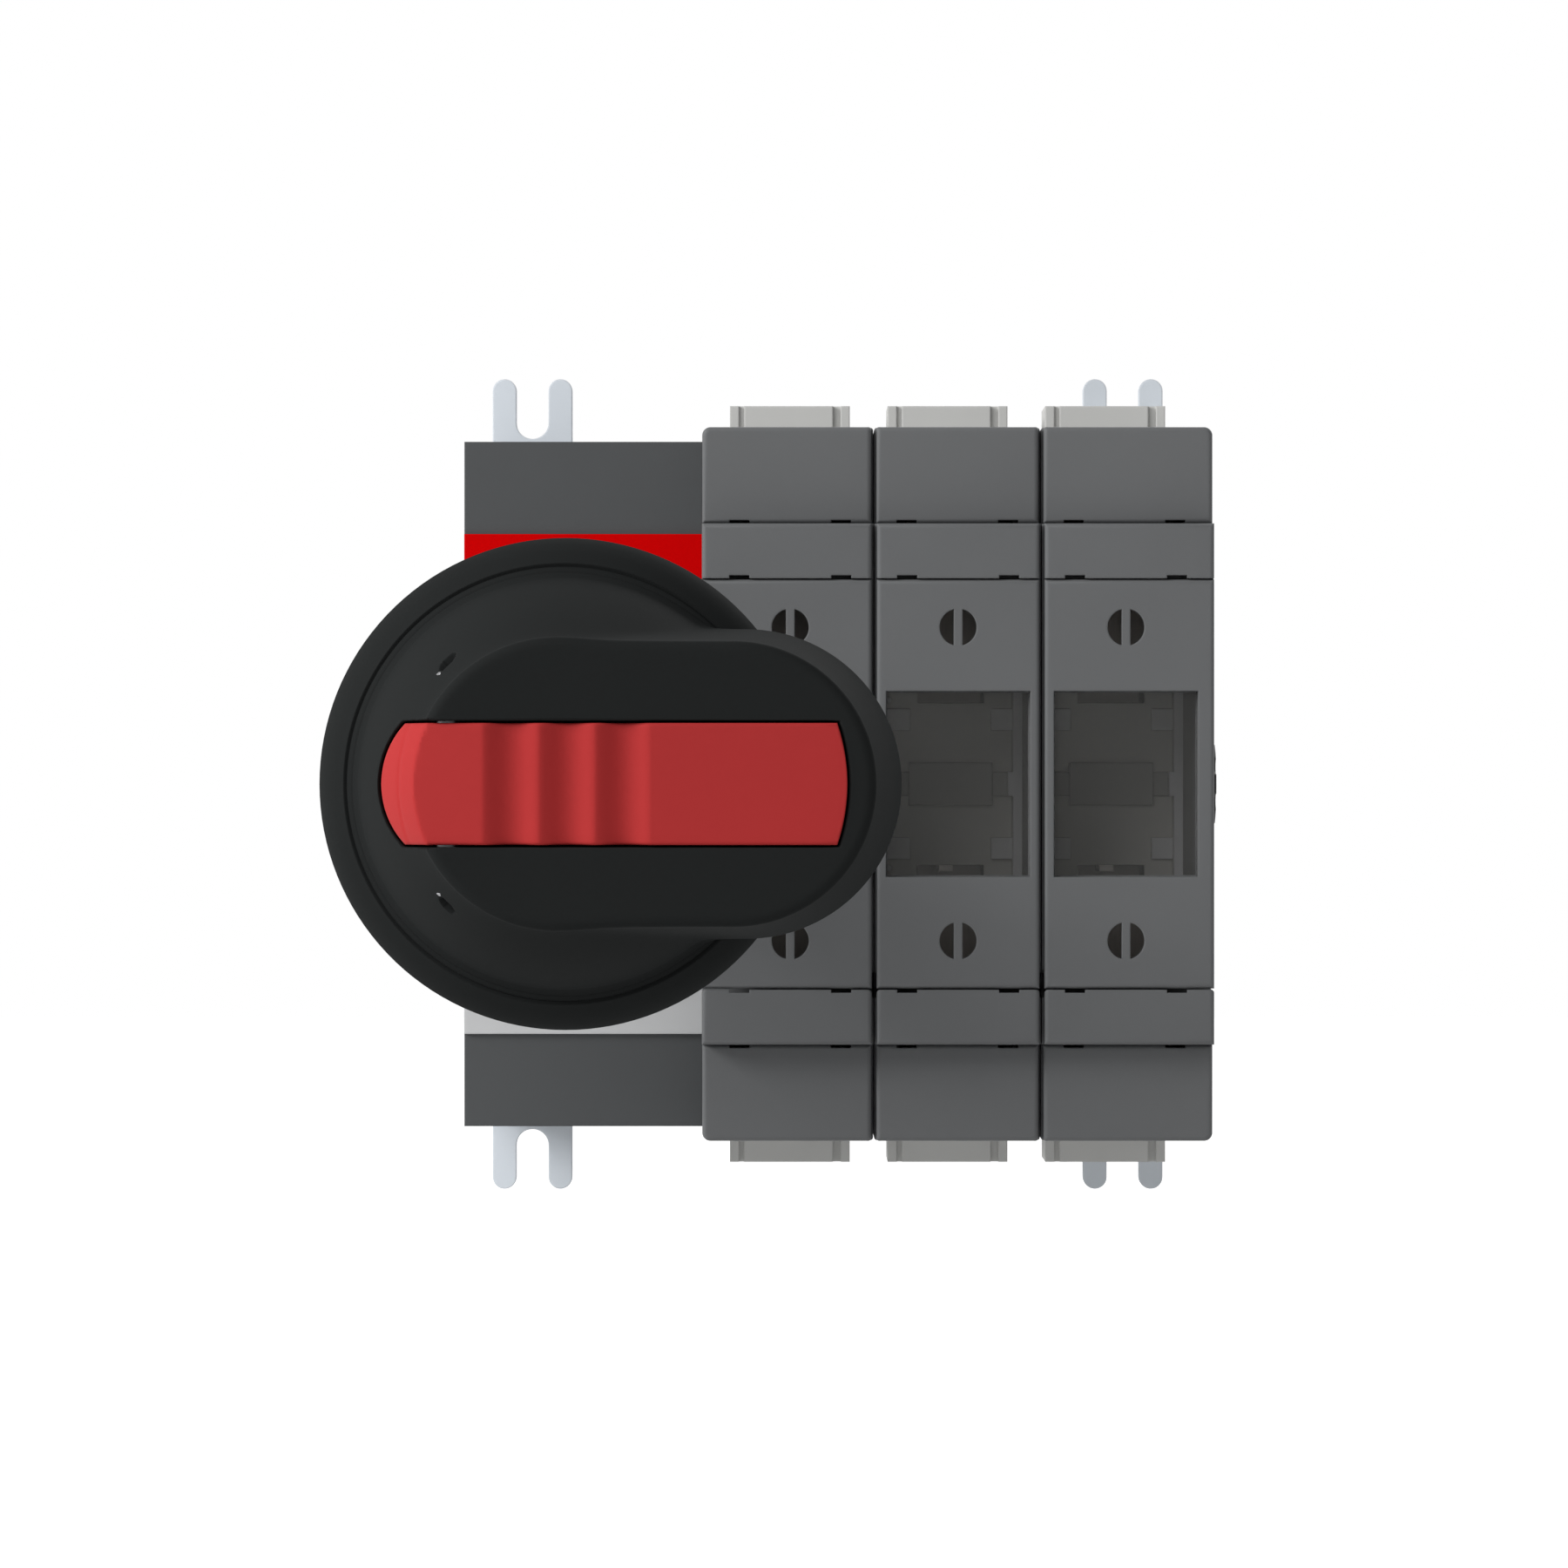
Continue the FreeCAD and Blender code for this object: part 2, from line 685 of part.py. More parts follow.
def terminal_shroud(pole, level):
    """Pale sleeve that guides the conductor into the terminal and shields it."""
    middle = centre(pole)
    inner, outer = "(pole_half_height - shroud_seat)", "(pole_half_height + shroud_proud)"
    span = on_side(level, inner, outer)
    beyond = on_side(level, f"{inner} - {BEYOND}", f"{outer} + {BEYOND}")
    whole = block(between(middle, "shroud_half_width"), ("rear_wall", "shroud_front_depth"), span)
    bore = block(between(middle, "shroud_half_width - shroud_wall"),
                 ("rear_wall + shroud_wall", "shroud_front_depth - shroud_wall"), beyond)
    grooves = [
        block((f"{middle} + shroud_groove", f"{middle} + shroud_groove + shroud_groove_width"),
              ("shroud_front_depth - shroud_wall / 2", f"shroud_front_depth + {BEYOND}"), beyond),
        block((f"{middle} - shroud_step - shroud_step_width", f"{middle} - shroud_step"),
              ("shroud_front_depth - shroud_wall / 3", f"shroud_front_depth + {BEYOND}"), beyond),
    ]
    return cut(whole, bore, *grooves)


def terminal_cage(pole, level):
    """Steel cage that the clamp screw draws up against the terminal bar."""
    middle = centre(pole)
    ends = on_side(level, f"{CAGE_CENTRE} - cage_half_length", f"{CAGE_CENTRE} + cage_half_length")
    beyond = on_side(level, f"{CAGE_CENTRE} - cage_half_length - {BEYOND}",
                     f"{CAGE_CENTRE} + cage_half_length + {BEYOND}")
    whole = block(between(middle, "cage_half_width"),
                  ("rear_wall + joint_gap", "cage_front_depth"), ends)
    bore = block(between(middle, "cage_half_width - cage_wall"),
                 ("rear_wall + joint_gap + cage_wall", "cage_front_depth - 2"), beyond)
    hole = rod("depth", "screw_radius + bore_gap", ("cage_front_depth - 3", "cage_front_depth + 1"),
               x=middle, z=f"{level} * {CAGE_CENTRE}")
    return cut(whole, bore, hole)


def terminal_screw(pole, level):
    """Slotted clamp screw, its tip on the terminal bar."""
    place = {"x": centre(pole), "z": f"{level} * {CAGE_CENTRE}"}
    tip = "shaft_depth - contact_offset"
    head_top = "screw_head_depth + screw_head_height"
    shank = rod("depth", "screw_radius", (tip, "screw_head_depth"), **place)
    head = rod("depth", "screw_head_radius", ("screw_head_depth", head_top), **place)
    slot = block(between(centre(pole), "screw_head_radius + 1"),
                 (f"{head_top} - 1.3", f"{head_top} + 1"),
                 between(place["z"], "0.6"))
    return cut(fuse(shank, head), slot)


def tie_rod(level):
    """Long screw that pulls the three poles against the mechanism."""
    place = {"d": TIE_DEPTH, "z": f"{level} * {TIE_HEIGHT}"}
    start = f"{MECH_RIGHT} - mech_wall"
    return fuse(rod("x", "tie_radius", (start, f"{POLES_RIGHT} - joint_gap"), **place),
                rod("x", "2 * tie_radius", (f"{start} - tie_radius", start), **place))


def tie_nut(level):
    """Hexagonal nut of a tie rod, sunk in the right flank."""
    place = {"d": TIE_DEPTH, "z": f"{level} * {TIE_HEIGHT}"}
    start, end = f"{POLES_RIGHT} - nut_thickness - joint_gap", f"{POLES_RIGHT} - joint_gap"
    nut = doc.addObject("Part::Prism", "nut")
    nut.Polygon = 6
    tie(nut, "Circumradius", "nut_radius")
    tie(nut, "Height", "nut_thickness")
    nut.Placement = Placement(Vector(), ALONG["x"])
    tie(nut, "Placement.Base.x", start)
    tie(nut, "Placement.Base.y", f"-{TIE_DEPTH}")
    tie(nut, "Placement.Base.z", place["z"])
    return cut(nut, rod("x", "tie_radius", (f"{start} - {BEYOND}", f"{end} + {BEYOND}"), **place))


def mounting_rail(x):
    """Steel rail let into the back, with an open slot for a screw at each end."""
    tip_radius = "(foot_width / 2 - slot_radius) / 2"
    depth = ("0", "foot_thickness")
    deeper = (f"-{BEYOND}", f"foot_thickness + {BEYOND}")
    solids = [block(between(x, "foot_width / 2"), depth,
                    between("0", f"{FOOT_REACH} - {tip_radius}"))]
    tools = []
    for level in SIDES:
        for side in SIDES:
            solids.append(rod("depth", tip_radius, depth,
                              x=f"{x} + {side} * (slot_radius + {tip_radius})",
                              z=f"{level} * ({FOOT_REACH} - {tip_radius})"))
        tools.append(rod("depth", "slot_radius", deeper, x=x, z=f"{level} * {SLOT_HEIGHT}"))
        tools.append(block(between(x, "slot_radius"), deeper,
                           on_side(level, SLOT_HEIGHT, f"{FOOT_REACH} + {BEYOND}")))
    return cut(fuse(*solids), *tools)


MECH_SPAN = (MECH_LEFT, MECH_RIGHT)
MECH_FACE = "(mech_front_depth - mech_plate_thickness)"
MECH_WALL = "(mech_half_height - mech_wall)"
HOOKS = (f"{MECH_LEFT} + mech_width / 2 - hook_offset", f"{MECH_LEFT} + mech_width / 2 + hook_offset")
SLIDE_LEFT = "(handle_axis_x + gear_pitch_radius + 2.2 * gear_pitch_radius / gear_teeth)"
SLIDE_SPAN = (SLIDE_LEFT, f"{SLIDE_LEFT} + slide_width")
SLIDE_FRONT = "(drive_gear_depth + drive_gear_width)"
SHAFT_START = "(drive_gear_depth + shaft_bite)"
CROSS_HUB_RADIUS = "(rotor_hub_radius - 0.5)"
PILLAR = ("(handle_axis_x + 3.1)", "(handle_axis_x + 7.1)")


def mechanism_base():
    """Rear moulding of the mechanism with its corner pillars and shaft bearings."""
    left, right = f"{MECH_LEFT} + mech_wall", f"{MECH_RIGHT} - mech_wall"
    whole = block(MECH_SPAN, ("0", "base_depth"), between("0", "mech_half_height"))
    room = block((left, right), ("mech_floor", f"base_depth + {BEYOND}"), between("0", MECH_WALL))
    pillar_front = "shaft_depth + gear_pitch_radius"
    solids = [cut(whole, room),
              block(PILLAR, ("mech_floor / 2", pillar_front), between("0", "1.5 * rotor_hub_radius"))]
    for level in SIDES:
        for x in ((MECH_LEFT, f"{left} + mech_pillar_width"),
                  (f"{right} - mech_pillar_width", MECH_RIGHT)):
            solids.append(block(x, ("mech_floor / 2", "gear_plate_depth"),
                                on_side(level, f"{MECH_WALL} - mech_pillar_width",
                                        "mech_half_height")))
    seat = f"{CROSS_HUB_RADIUS} + running_gap"
    head_room = "2 * tie_radius + running_gap"
    past_pillar = f"{right} - mech_pillar_width - {BEYOND}"
    tools = [
        bearing_slot((f"{PILLAR[0]} - {BEYOND}", f"{PILLAR[1]} + {BEYOND}"), seat),
        bearing_slot((f"{right} - {BEYOND}", f"{MECH_RIGHT} + {BEYOND}"), seat),
        foot_groove("-foot_x", "mech_half_height"),
    ]
    for level in SIDES:
        height = f"{level} * {TIE_HEIGHT}"
        tools.append(rod("x", "tie_radius + running_gap", (past_pillar, f"{MECH_RIGHT} + {BEYOND}"),
                         d=TIE_DEPTH, z=height))
        tools.append(block((past_pillar, right), between(TIE_DEPTH, head_room),
                           between(height, head_room)))
        for x in HOOKS:
            tools.append(block(
                between(x, "hook_half_width + joint_gap"),
                between("base_depth - hook_length + hook_barb / 2", "hook_barb / 2 + joint_gap"),
                on_side(level, f"{MECH_WALL} - {BEYOND}", f"mech_half_height + {BEYOND}")))
    return cut(fuse(*solids), *tools)


def mechanism_cover():
    """Front moulding of the mechanism: bearing for the drive hub, and four snap hooks."""
    whole = block(MECH_SPAN, ("base_depth", MECH_FACE), between("0", "mech_half_height"))
    room = block((f"{MECH_LEFT} + mech_wall", f"{MECH_RIGHT} - mech_wall"),
                 (f"base_depth - {BEYOND}", f"{MECH_FACE} - mech_wall"), between("0", MECH_WALL))
    hole = rod("depth", "drive_hub_radius + running_gap",
               (f"{MECH_FACE} - mech_wall - {BEYOND}", f"{MECH_FACE} + {BEYOND}"),
               x="handle_axis_x")
    solids = [cut(whole, room, hole)]
    tip = "base_depth - hook_length"
    inner = f"{MECH_WALL} - joint_gap - hook_thickness"
    for level in SIDES:
        for x in HOOKS:
            across = between(x, "hook_half_width")
            solids += [
                block(across, ("base_depth", "base_depth + hook_length"),
                      on_side(level, inner, MECH_WALL)),
                block(across, (tip, "base_depth + hook_length"),
                      on_side(level, inner, f"{MECH_WALL} - joint_gap")),
                block(across, (tip, f"{tip} + hook_barb"),
                      on_side(level, inner, "(mech_half_height - mech_wall / 2)")),
            ]
    return fuse(*solids)


def label_plate(low, high, holed):
    """Coloured plate set on the raised middle of the mechanism's front."""
    plate = block(MECH_SPAN, (MECH_FACE, "mech_front_depth"), (low, high))
    if not holed:
        return plate
    return cut(plate, rod("depth", "drive_hub_radius + 2 * joint_gap",
                          (f"{MECH_FACE} - {BEYOND}", f"mech_front_depth + {BEYOND}"),
                          x="handle_axis_x"))


def gear_plate():
    """Steel plate on the pillars: rear bearing of the drive gear, guide of the slide."""
    inside = (f"{MECH_LEFT} + mech_wall + joint_gap", f"{MECH_RIGHT} - mech_wall - joint_gap")
    front = "gear_plate_depth + gear_plate_thickness"
    deeper = (f"gear_plate_depth - {BEYOND}", f"{front} + {BEYOND}")
    plate = block(inside, ("gear_plate_depth", front),
                  between("0", f"{MECH_WALL} - hook_thickness - 3 * joint_gap"))
    hole = rod("depth", "drive_journal_radius + running_gap", deeper, x="handle_axis_x")
    guide = block((f"{SLIDE_SPAN[0]} - running_gap", f"{SLIDE_SPAN[1]} + running_gap"), deeper,
                  between("0", "slide_length / 2 + gear_pitch_radius"))
    relief = [block((f"{MECH_RIGHT} - mech_wall - 2 * tie_radius", MECH_RIGHT), deeper,
                    between(f"{level} * {TIE_HEIGHT}", "2 * tie_radius + joint_gap"))
              for level in SIDES]
    return cut(plate, hole, guide, *relief)


# Gear teeth. Both gears are alike, and the rack's straight flanks have the same
# pressure angle, so that they roll together with a little backlash.
TEETH = int(value("gear_teeth"))
PITCH_R = value("gear_pitch_radius")
MODULE = 2 * PITCH_R / TEETH
ADDENDUM = 0.8 * MODULE
DEDENDUM = 1.1 * MODULE
FLANK = math.radians(value("pressure_angle"))
HALF_TOOTH = math.pi * MODULE / 4 - value("tooth_backlash") / 2
FLANK_STEPS = 3


def involute(angle):
    return math.tan(angle) - angle


def gear_face():
    """Outline of a gear about the origin in XY, with one tooth along +X."""
    base_r = PITCH_R * math.cos(FLANK)
    tip_r = PITCH_R + ADDENDUM
    root_r = PITCH_R - DEDENDUM
    flank = []
    for step in range(FLANK_STEPS + 1):
        r = base_r + (tip_r - base_r) * step / FLANK_STEPS
        pressure = math.acos(min(1, base_r / r))
        half = HALF_TOOTH / PITCH_R + involute(FLANK) - involute(pressure)
        flank.append((r, half))
    flank.insert(0, (root_r, flank[0][1]))
    points = []
    for tooth in range(TEETH):
        middle = 2 * math.pi * tooth / TEETH
        rising = [(r, middle - half) for r, half in flank]
        falling = [(r, middle + half) for r, half in reversed(flank)]
        for r, angle in rising + falling:
            points.append(Vector(r * math.cos(angle), r * math.sin(angle), 0))
    return Part.Face(Part.makePolygon(points + points[:1]))


def rack_face(low, high, back):
    """Outline of a rack from low to high, with a gap at zero, where the gear's tooth is."""
    pitch = math.pi * MODULE
    reach = math.tan(FLANK)
    root, tip = HALF_TOOTH + DEDENDUM * reach, HALF_TOOTH - ADDENDUM * reach
    points = [Vector(back, low, 0), Vector(DEDENDUM, low, 0)]
    middle = (math.ceil((low + root) / pitch - 0.5) + 0.5) * pitch
    while middle + root <= high:
        points += [Vector(DEDENDUM, middle - root, 0), Vector(-ADDENDUM, middle - tip, 0),
                   Vector(-ADDENDUM, middle + tip, 0), Vector(DEDENDUM, middle + root, 0)]
        middle += pitch
    points += [Vector(DEDENDUM, high, 0), Vector(back, high, 0)]
    return Part.Face(Part.makePolygon(points + points[:1]))


def feature(shape):
    piece = doc.addObject("Part::Feature", "worked")
    piece.Shape = shape
    return piece


def drive_gear():
    """Gear on the handle's shaft, with its hub in the cover and journal in the plate."""
    teeth = feature(gear_face().extrude(Vector(0, 0, value("drive_gear_width"))))
    teeth.Placement = Placement(
        Vector(value("handle_axis_x"), -value("drive_gear_depth"), 0), ALONG["depth"])
    hub = rod("depth", "drive_hub_radius", (SLIDE_FRONT, "mech_front_depth - joint_gap"),
              x="handle_axis_x")
    journal = rod("depth", "drive_journal_radius",
                  ("gear_plate_depth - gear_plate_thickness / 2", "drive_gear_depth"),
                  x="handle_axis_x")
    half = "handle_shaft_square / 2 + bore_gap"
    bore = block(between("handle_axis_x", half),
                 (f"{SHAFT_START} - joint_gap", f"mech_front_depth + {BEYOND}"), between("0", half))
    return cut(fuse(teeth, hub, journal), bore)


def cross_gear():
    """Gear that turns the cross shaft, with its hub in the two bearings."""
    teeth = feature(gear_face().extrude(Vector(0, 0, value("slide_width"))))
    turn = Rotation(Vector(1, 0, 0), -90) * ALONG["x"]
    teeth.Placement = Placement(
        Vector(value(SLIDE_SPAN[0]), -value("shaft_depth"), 0), turn)
    hub = rod("x", CROSS_HUB_RADIUS, (f"{PILLAR[0]} - joint_gap", f"{MECH_RIGHT} - bore_gap"),
              d="shaft_depth")
    return cut(fuse(teeth, hub), square_bore((f"{PILLAR[0]} - {BEYOND}", f"{MECH_RIGHT} + {BEYOND}")))


def drive_slide():
    """Slide with a rack for each gear, drawn in its lower place, with the switch off."""
    travel = PITCH_R * math.pi / 2
    low = -(value("slide_length") + travel) / 2
    high = low + value("slide_length")
    front = value(SLIDE_FRONT)
    gear_rear = value("drive_gear_depth - joint_gap")
    pitch_x = value("handle_axis_x") + PITCH_R
    pitch_depth = value("shaft_depth") + PITCH_R
    front_rack = rack_face(low, high, value(SLIDE_SPAN[1]) - pitch_x)
    front_rack = front_rack.extrude(Vector(0, 0, front - gear_rear))
    front_rack.Placement = Placement(Vector(pitch_x, -gear_rear, 0), ALONG["depth"])
    rear_rack = rack_face(low, high, front - pitch_depth)
    rear_rack = rear_rack.extrude(Vector(0, 0, value("slide_width")))
    facing_back = Rotation(Vector(0, -1, 0), Vector(0, 0, 1), Vector(-1, 0, 0), "XYZ")
    rear_rack.Placement = Placement(Vector(value(SLIDE_SPAN[1]), -pitch_depth, 0), facing_back)
    return feature(front_rack.fuse(rear_rack).removeSplitter())


def cross_shaft():
    """Square steel shaft through the cross gear and the three rotors."""
    half = "shaft_square / 2"
    return block((PILLAR[0], f"{POLES_RIGHT} + {CAP_FLOOR} - joint_gap"),
                 between("shaft_depth", half), between("0", half))


CAP_FLOOR = "(2 * side_cap_height / 3)"


def side_cap():
    """Scalloped coupling cap on the free end of the cross shaft."""
    start = f"{POLES_RIGHT} + joint_gap"
    end = f"{POLES_RIGHT} + side_cap_height"
    disc = rod("x", "side_cap_radius", (start, end), d="shaft_depth")
    notches = [square_bore((f"{start} - {BEYOND}", f"{POLES_RIGHT} + {CAP_FLOOR}"))]
    count = int(value("side_cap_notches"))
    for notch in range(count):
        angle = 360 / count * (notch + 0.5)
        notches.append(rod("x", "side_cap_notch_radius",
                           (f"{end} - side_cap_height / 2", f"{end} + {BEYOND}"),
                           d=f"shaft_depth + side_cap_radius * cos({angle})",
                           z=f"side_cap_radius * sin({angle})"))
    return cut(disc, *notches)


# The handle's pieces are drawn about the shaft's axis and moved to it by their placement.
PLANES = {"plan": "XZ_Plane", "section": "XY_Plane"}


def new_body(name):
    body = doc.addObject("PartDesign::Body", name)
    tie(body, "Placement.Base.x", "handle_axis_x")
    doc.recompute()
    return body


def draw(body, plane, corners, depth="0"):
    """Sketch a closed outline. A corner is (u, v), or (u, v, arc centre) to reach it by an arc.

    On a plan u is along X and v along Z, and on a section u is the radius and v is Y.
    """
    sketch = body.newObject("Sketcher::SketchObject", "outline")
    origin = next(f for f in body.Origin.OriginFeatures if f.Role == PLANES[plane])
    sketch.AttachmentSupport = [(origin, "")]
    sketch.MapMode = "FlatFace"
    tie(sketch, "AttachmentOffset.Base.z", depth)
    places = [Vector(value(c[0]), value(c[1]), 0) for c in corners]
    count = len(corners)
    for index in range(count):
        start, end = places[index - 1], places[index]
        if len(corners[index]) == 2:
            sketch.addGeometry(Part.LineSegment(start, end))
            continue
        middle = Vector(value(corners[index][2][0]), value(corners[index][2][1]), 0)
        outward = (start + end) * 0.5 - middle
        if outward.Length < 1e-6:
            outward = Vector((end - start).y, -(end - start).x, 0)
        crest = middle + outward.normalize() * (end - middle).Length
        sketch.addGeometry(Part.Arc(start, crest, end))
    for index in range(count):
        first = sketch_end(sketch, index, places[index])
        second = sketch_end(sketch, (index + 1) % count, places[index])
        sketch.addConstraint(Sketcher.Constraint("Coincident", index, first,
                                                 (index + 1) % count, second))
        for kind, text, number in (("DistanceX", corners[index][0], places[index].x),
                                   ("DistanceY", corners[index][1], places[index].y)):
            made = sketch.addConstraint(Sketcher.Constraint(kind, index, first, number))
            tie(sketch, f"Constraints[{made}]", text)
        if len(corners[index]) == 3:
            upright = abs(places[index].x - places[index - 1].x) < 1e-6
            axis = 0 if upright else 1
            kind = ("DistanceX", "DistanceY")[axis]
            text = corners[index][2][axis]
            made = sketch.addConstraint(Sketcher.Constraint(kind, index, 3, value(text)))
            tie(sketch, f"Constraints[{made}]", text)
    return sketch


def sketch_end(sketch, index, place):
    """Which end of a drawn line or arc lies at a place."""
    return 1 if (sketch.getPoint(index, 1) - place).Length < 1e-4 else 2


def pad(body, sketch, length):
    grown = body.newObject("PartDesign::Pad", "pad")
    grown.Profile = sketch
    tie(grown, "Length", length)
    doc.recompute()
    return grown


def pocket(body, sketch, length, back=False):
    sunk = body.newObject("PartDesign::Pocket", "pocket")
    sunk.Profile = sketch
    tie(sunk, "Length", length)
    sunk.Reversed = back
    before = body.Shape.Volume
    doc.recompute()
    if body.Shape.Volume >= before - 1e-6:
        raise RuntimeError("a pocket cuts nothing in " + body.Name)
    return sunk


def spin(body, sketch):
    turned = body.newObject("PartDesign::Revolution", "turned")
    turned.Profile = sketch
    turned.ReferenceAxis = (sketch, ["V_Axis"])
    turned.Angle = 360
    doc.recompute()
    return turned


GRIP_TOP = "(flange_depth + grip_height)"
GRIP_SEAT = "(flange_depth + flange_floor + joint_gap)"
LEVER_REAR = "(flange_depth + grip_height - lever_thickness)"
LEVER_HEEL = "(flange_depth + grip_height - heel_thickness)"
PIVOT_DEPTH = "(flange_depth + grip_height - pivot_sink)"
PIVOT_X = "(handle_axis_x - pivot_offset)"
HUB_REAR = "(flange_depth - hub_reach)"
RING_DEPTH = ("flange_depth + 2 * joint_gap", "flange_depth + ring_recess - running_gap")


def washer(outer, inner, depth):
    """A flat ring about the handle's axis."""
    beyond = (f"{depth[0]} - {BEYOND}", f"{depth[1]} + {BEYOND}")
    return cut(rod("depth", outer, depth, x="handle_axis_x"),
               rod("depth", inner, beyond, x="handle_axis_x"))


def handle_flange():
    """Fixed round base of the handle, screwed to the door from behind."""
    rim = "flange_depth + flange_rim"
    floor = "flange_depth + flange_floor"
    bore = "hub_radius + running_gap"
    ring_seat = "hub_radius + ring_proud + 3 * joint_gap"
    body = new_body("flange_body")
    spin(body, draw(body, "section", [
        (bore, "-(flange_depth + ring_recess)"),
        (ring_seat, "-(flange_depth + ring_recess)"),
        (ring_seat, "-flange_depth"),
        ("flange_radius - flange_lip", "-flange_depth"),
        ("flange_radius", "-(flange_depth + flange_lip)"),
        ("flange_radius", "-(flange_depth + flange_edge)"),
        ("flange_radius - flange_slope", f"-({rim} - flange_slope)"),
        ("dome_radius + dome_gap + flange_lip", f"-({rim})"),
        ("dome_radius + dome_gap", f"-({rim} - dome_gap)"),
        ("dome_radius + dome_gap", f"-({floor})"),
        (bore, f"-({floor})"),
    ]))
    tools = [washer("gasket_outer", "gasket_inner", GASKET_DEPTH)]
    for side in SIDES:
        for level in SIDES:
            tools.append(rod("depth", "screw_hole_radius",
                             (f"flange_depth - {BEYOND}", "flange_depth + flange_edge"),
                             x=f"handle_axis_x + {side} * screw_hole_spacing / 2",
                             z=f"{level} * screw_hole_spacing / 2"))
    return cut(body, *tools)


GASKET_DEPTH = ("flange_depth - gasket_thickness / 2", "flange_depth + gasket_thickness / 2")


def flange_gasket():
    """Soft sealing ring in the back of the flange."""
    return washer("gasket_outer", "gasket_inner", GASKET_DEPTH)


def lever_plan(gap, end=None):
    """Plan of the padlock lever, grown by a gap all round, or of its left part up to an end."""
    wide = f"(lever_half_width + {gap})"
    left = f"(lever_left_arc + {gap})"
    right = f"(lever_right_arc + {gap})"
    left_middle = "(lever_left_arc - lever_left)"
    right_middle = "(lever_right - lever_right_arc)"
    left_corner = f"{left_middle} - sqrt({left} * {left} - {wide} * {wide})"
    right_corner = f"{right_middle} + sqrt({right} * {right} - {wide} * {wide})"
    if end is None:
        right_side = [(right_corner, f"-{wide}"), (right_corner, wide, (right_middle, "0"))]
    else:
        right_side = [(end, f"-{wide}"), (end, wide)]
    return [*right_side, (left_corner, wide), (left_corner, f"-{wide}", (left_middle, "0"))]


def dome(name, proud="0"):
    """The round dome, or a larger one that trims what stands proud of it."""
    top = f"({GRIP_TOP} + {proud})"
    wide = f"(dome_radius + {proud})"
    narrow = f"(dome_top_radius + {proud})"
    wall = f"({GRIP_SEAT} + dome_wall)"
    body = new_body(name)
    spin(body, draw(body, "section", [
        ("0", f"-{GRIP_SEAT}"),
        (wide, f"-{GRIP_SEAT}"),
        (wide, f"-{wall}"),
        (f"({wide} + {narrow} + dome_bulge) / 2 + dome_bulge / 2",
         f"-(({wall} + {top} + dome_bulge) / 2)"),
        (f"{narrow} + edge_inset", f"-({top} - 3 * edge_drop)"),
        (narrow, f"-({top} - edge_drop)"),
        (f"{narrow} - edge_inset", f"-{top}"),
        ("0", f"-{top}"),
    ]))
    return body


def grip():
    """Rotating part of the handle: a domed hub with a long grip moulded on it."""
    body = dome("grip_body")
    foot = draw(body, "plan", grip_plan("grip_foot_half_width", "grip_foot_tip"),
                "flange_depth + flange_rim + grip_clearance")
    shoulder = draw(body, "plan", grip_plan("dome_top_radius", "grip_top_tip"),
                    f"{GRIP_TOP} - edge_drop")
    crown = draw(body, "plan",
                 grip_plan("(dome_top_radius - edge_inset)", "(grip_top_tip - edge_inset)"), GRIP_TOP)
    loft = body.newObject("PartDesign::AdditiveLoft", "loft")
    loft.Profile = foot
    loft.Sections = [shoulder, crown]
    loft.Ruled = True
    doc.recompute()
    slot = draw(body, "plan", lever_plan("lever_gap"), f"{GRIP_TOP} + {BEYOND}")
    pocket(body, slot, f"lever_thickness + lever_gap + {BEYOND}")
    pit = draw(body, "plan", lever_plan("lever_gap", "heel_step + heel_swing - pivot_offset"),
               LEVER_REAR)
    pocket(body, pit, "heel_thickness - lever_thickness + heel_swing")
    return body


def grip_plan(half_width, tip):
    """Half a stadium from the shaft's axis to a round tip."""
    middle = f"({tip} - {half_width})"
    return [
        ("0", f"-{half_width}"),
        (middle, f"-{half_width}"),
        (middle, half_width, (middle, "0")),
        ("0", half_width),
    ]


def finished_grip():
    """The grip with its hub, bores, ring groove and pin hole."""
    body = grip()
    hub = rod("depth", "hub_radius", (HUB_REAR, f"{GRIP_SEAT} + {BEYOND}"), x="handle_axis_x")
    half = "handle_shaft_square / 2 + bore_gap"
    tools = [
        block(between("handle_axis_x", half),
              (f"{HUB_REAR} - {BEYOND}", f"{SHAFT_END} + joint_gap"), between("0", half)),
        rod("z", "pivot_radius", between("0", "dome_radius"), x=PIVOT_X, d=PIVOT_DEPTH),
        washer(f"hub_radius + {BEYOND}", "hub_radius - ring_groove", RING_DEPTH),
        rod("x", "set_screw_radius + bore_gap",
            ("handle_axis_x", f"handle_axis_x + hub_radius + {BEYOND}"), d=SET_SCREW_DEPTH),
    ]
    return cut(fuse(body, hub), *tools)


SHAFT_END = "(flange_depth + shaft_entry)"
SET_SCREW_DEPTH = "(flange_depth - hub_reach + 2 * set_screw_radius)"


def retaining_ring():
    """Snap ring in the hub's groove, sunk in the back of the flange."""
    return washer("hub_radius + ring_proud", "hub_radius - ring_groove + bore_gap", RING_DEPTH)


def set_screw():
    """Grub screw that holds the grip's hub on the square shaft."""
    return rod("x", "set_screw_radius", ("handle_axis_x + handle_shaft_square / 2",
                                         "handle_axis_x + hub_radius - joint_gap"),
               d=SET_SCREW_DEPTH)


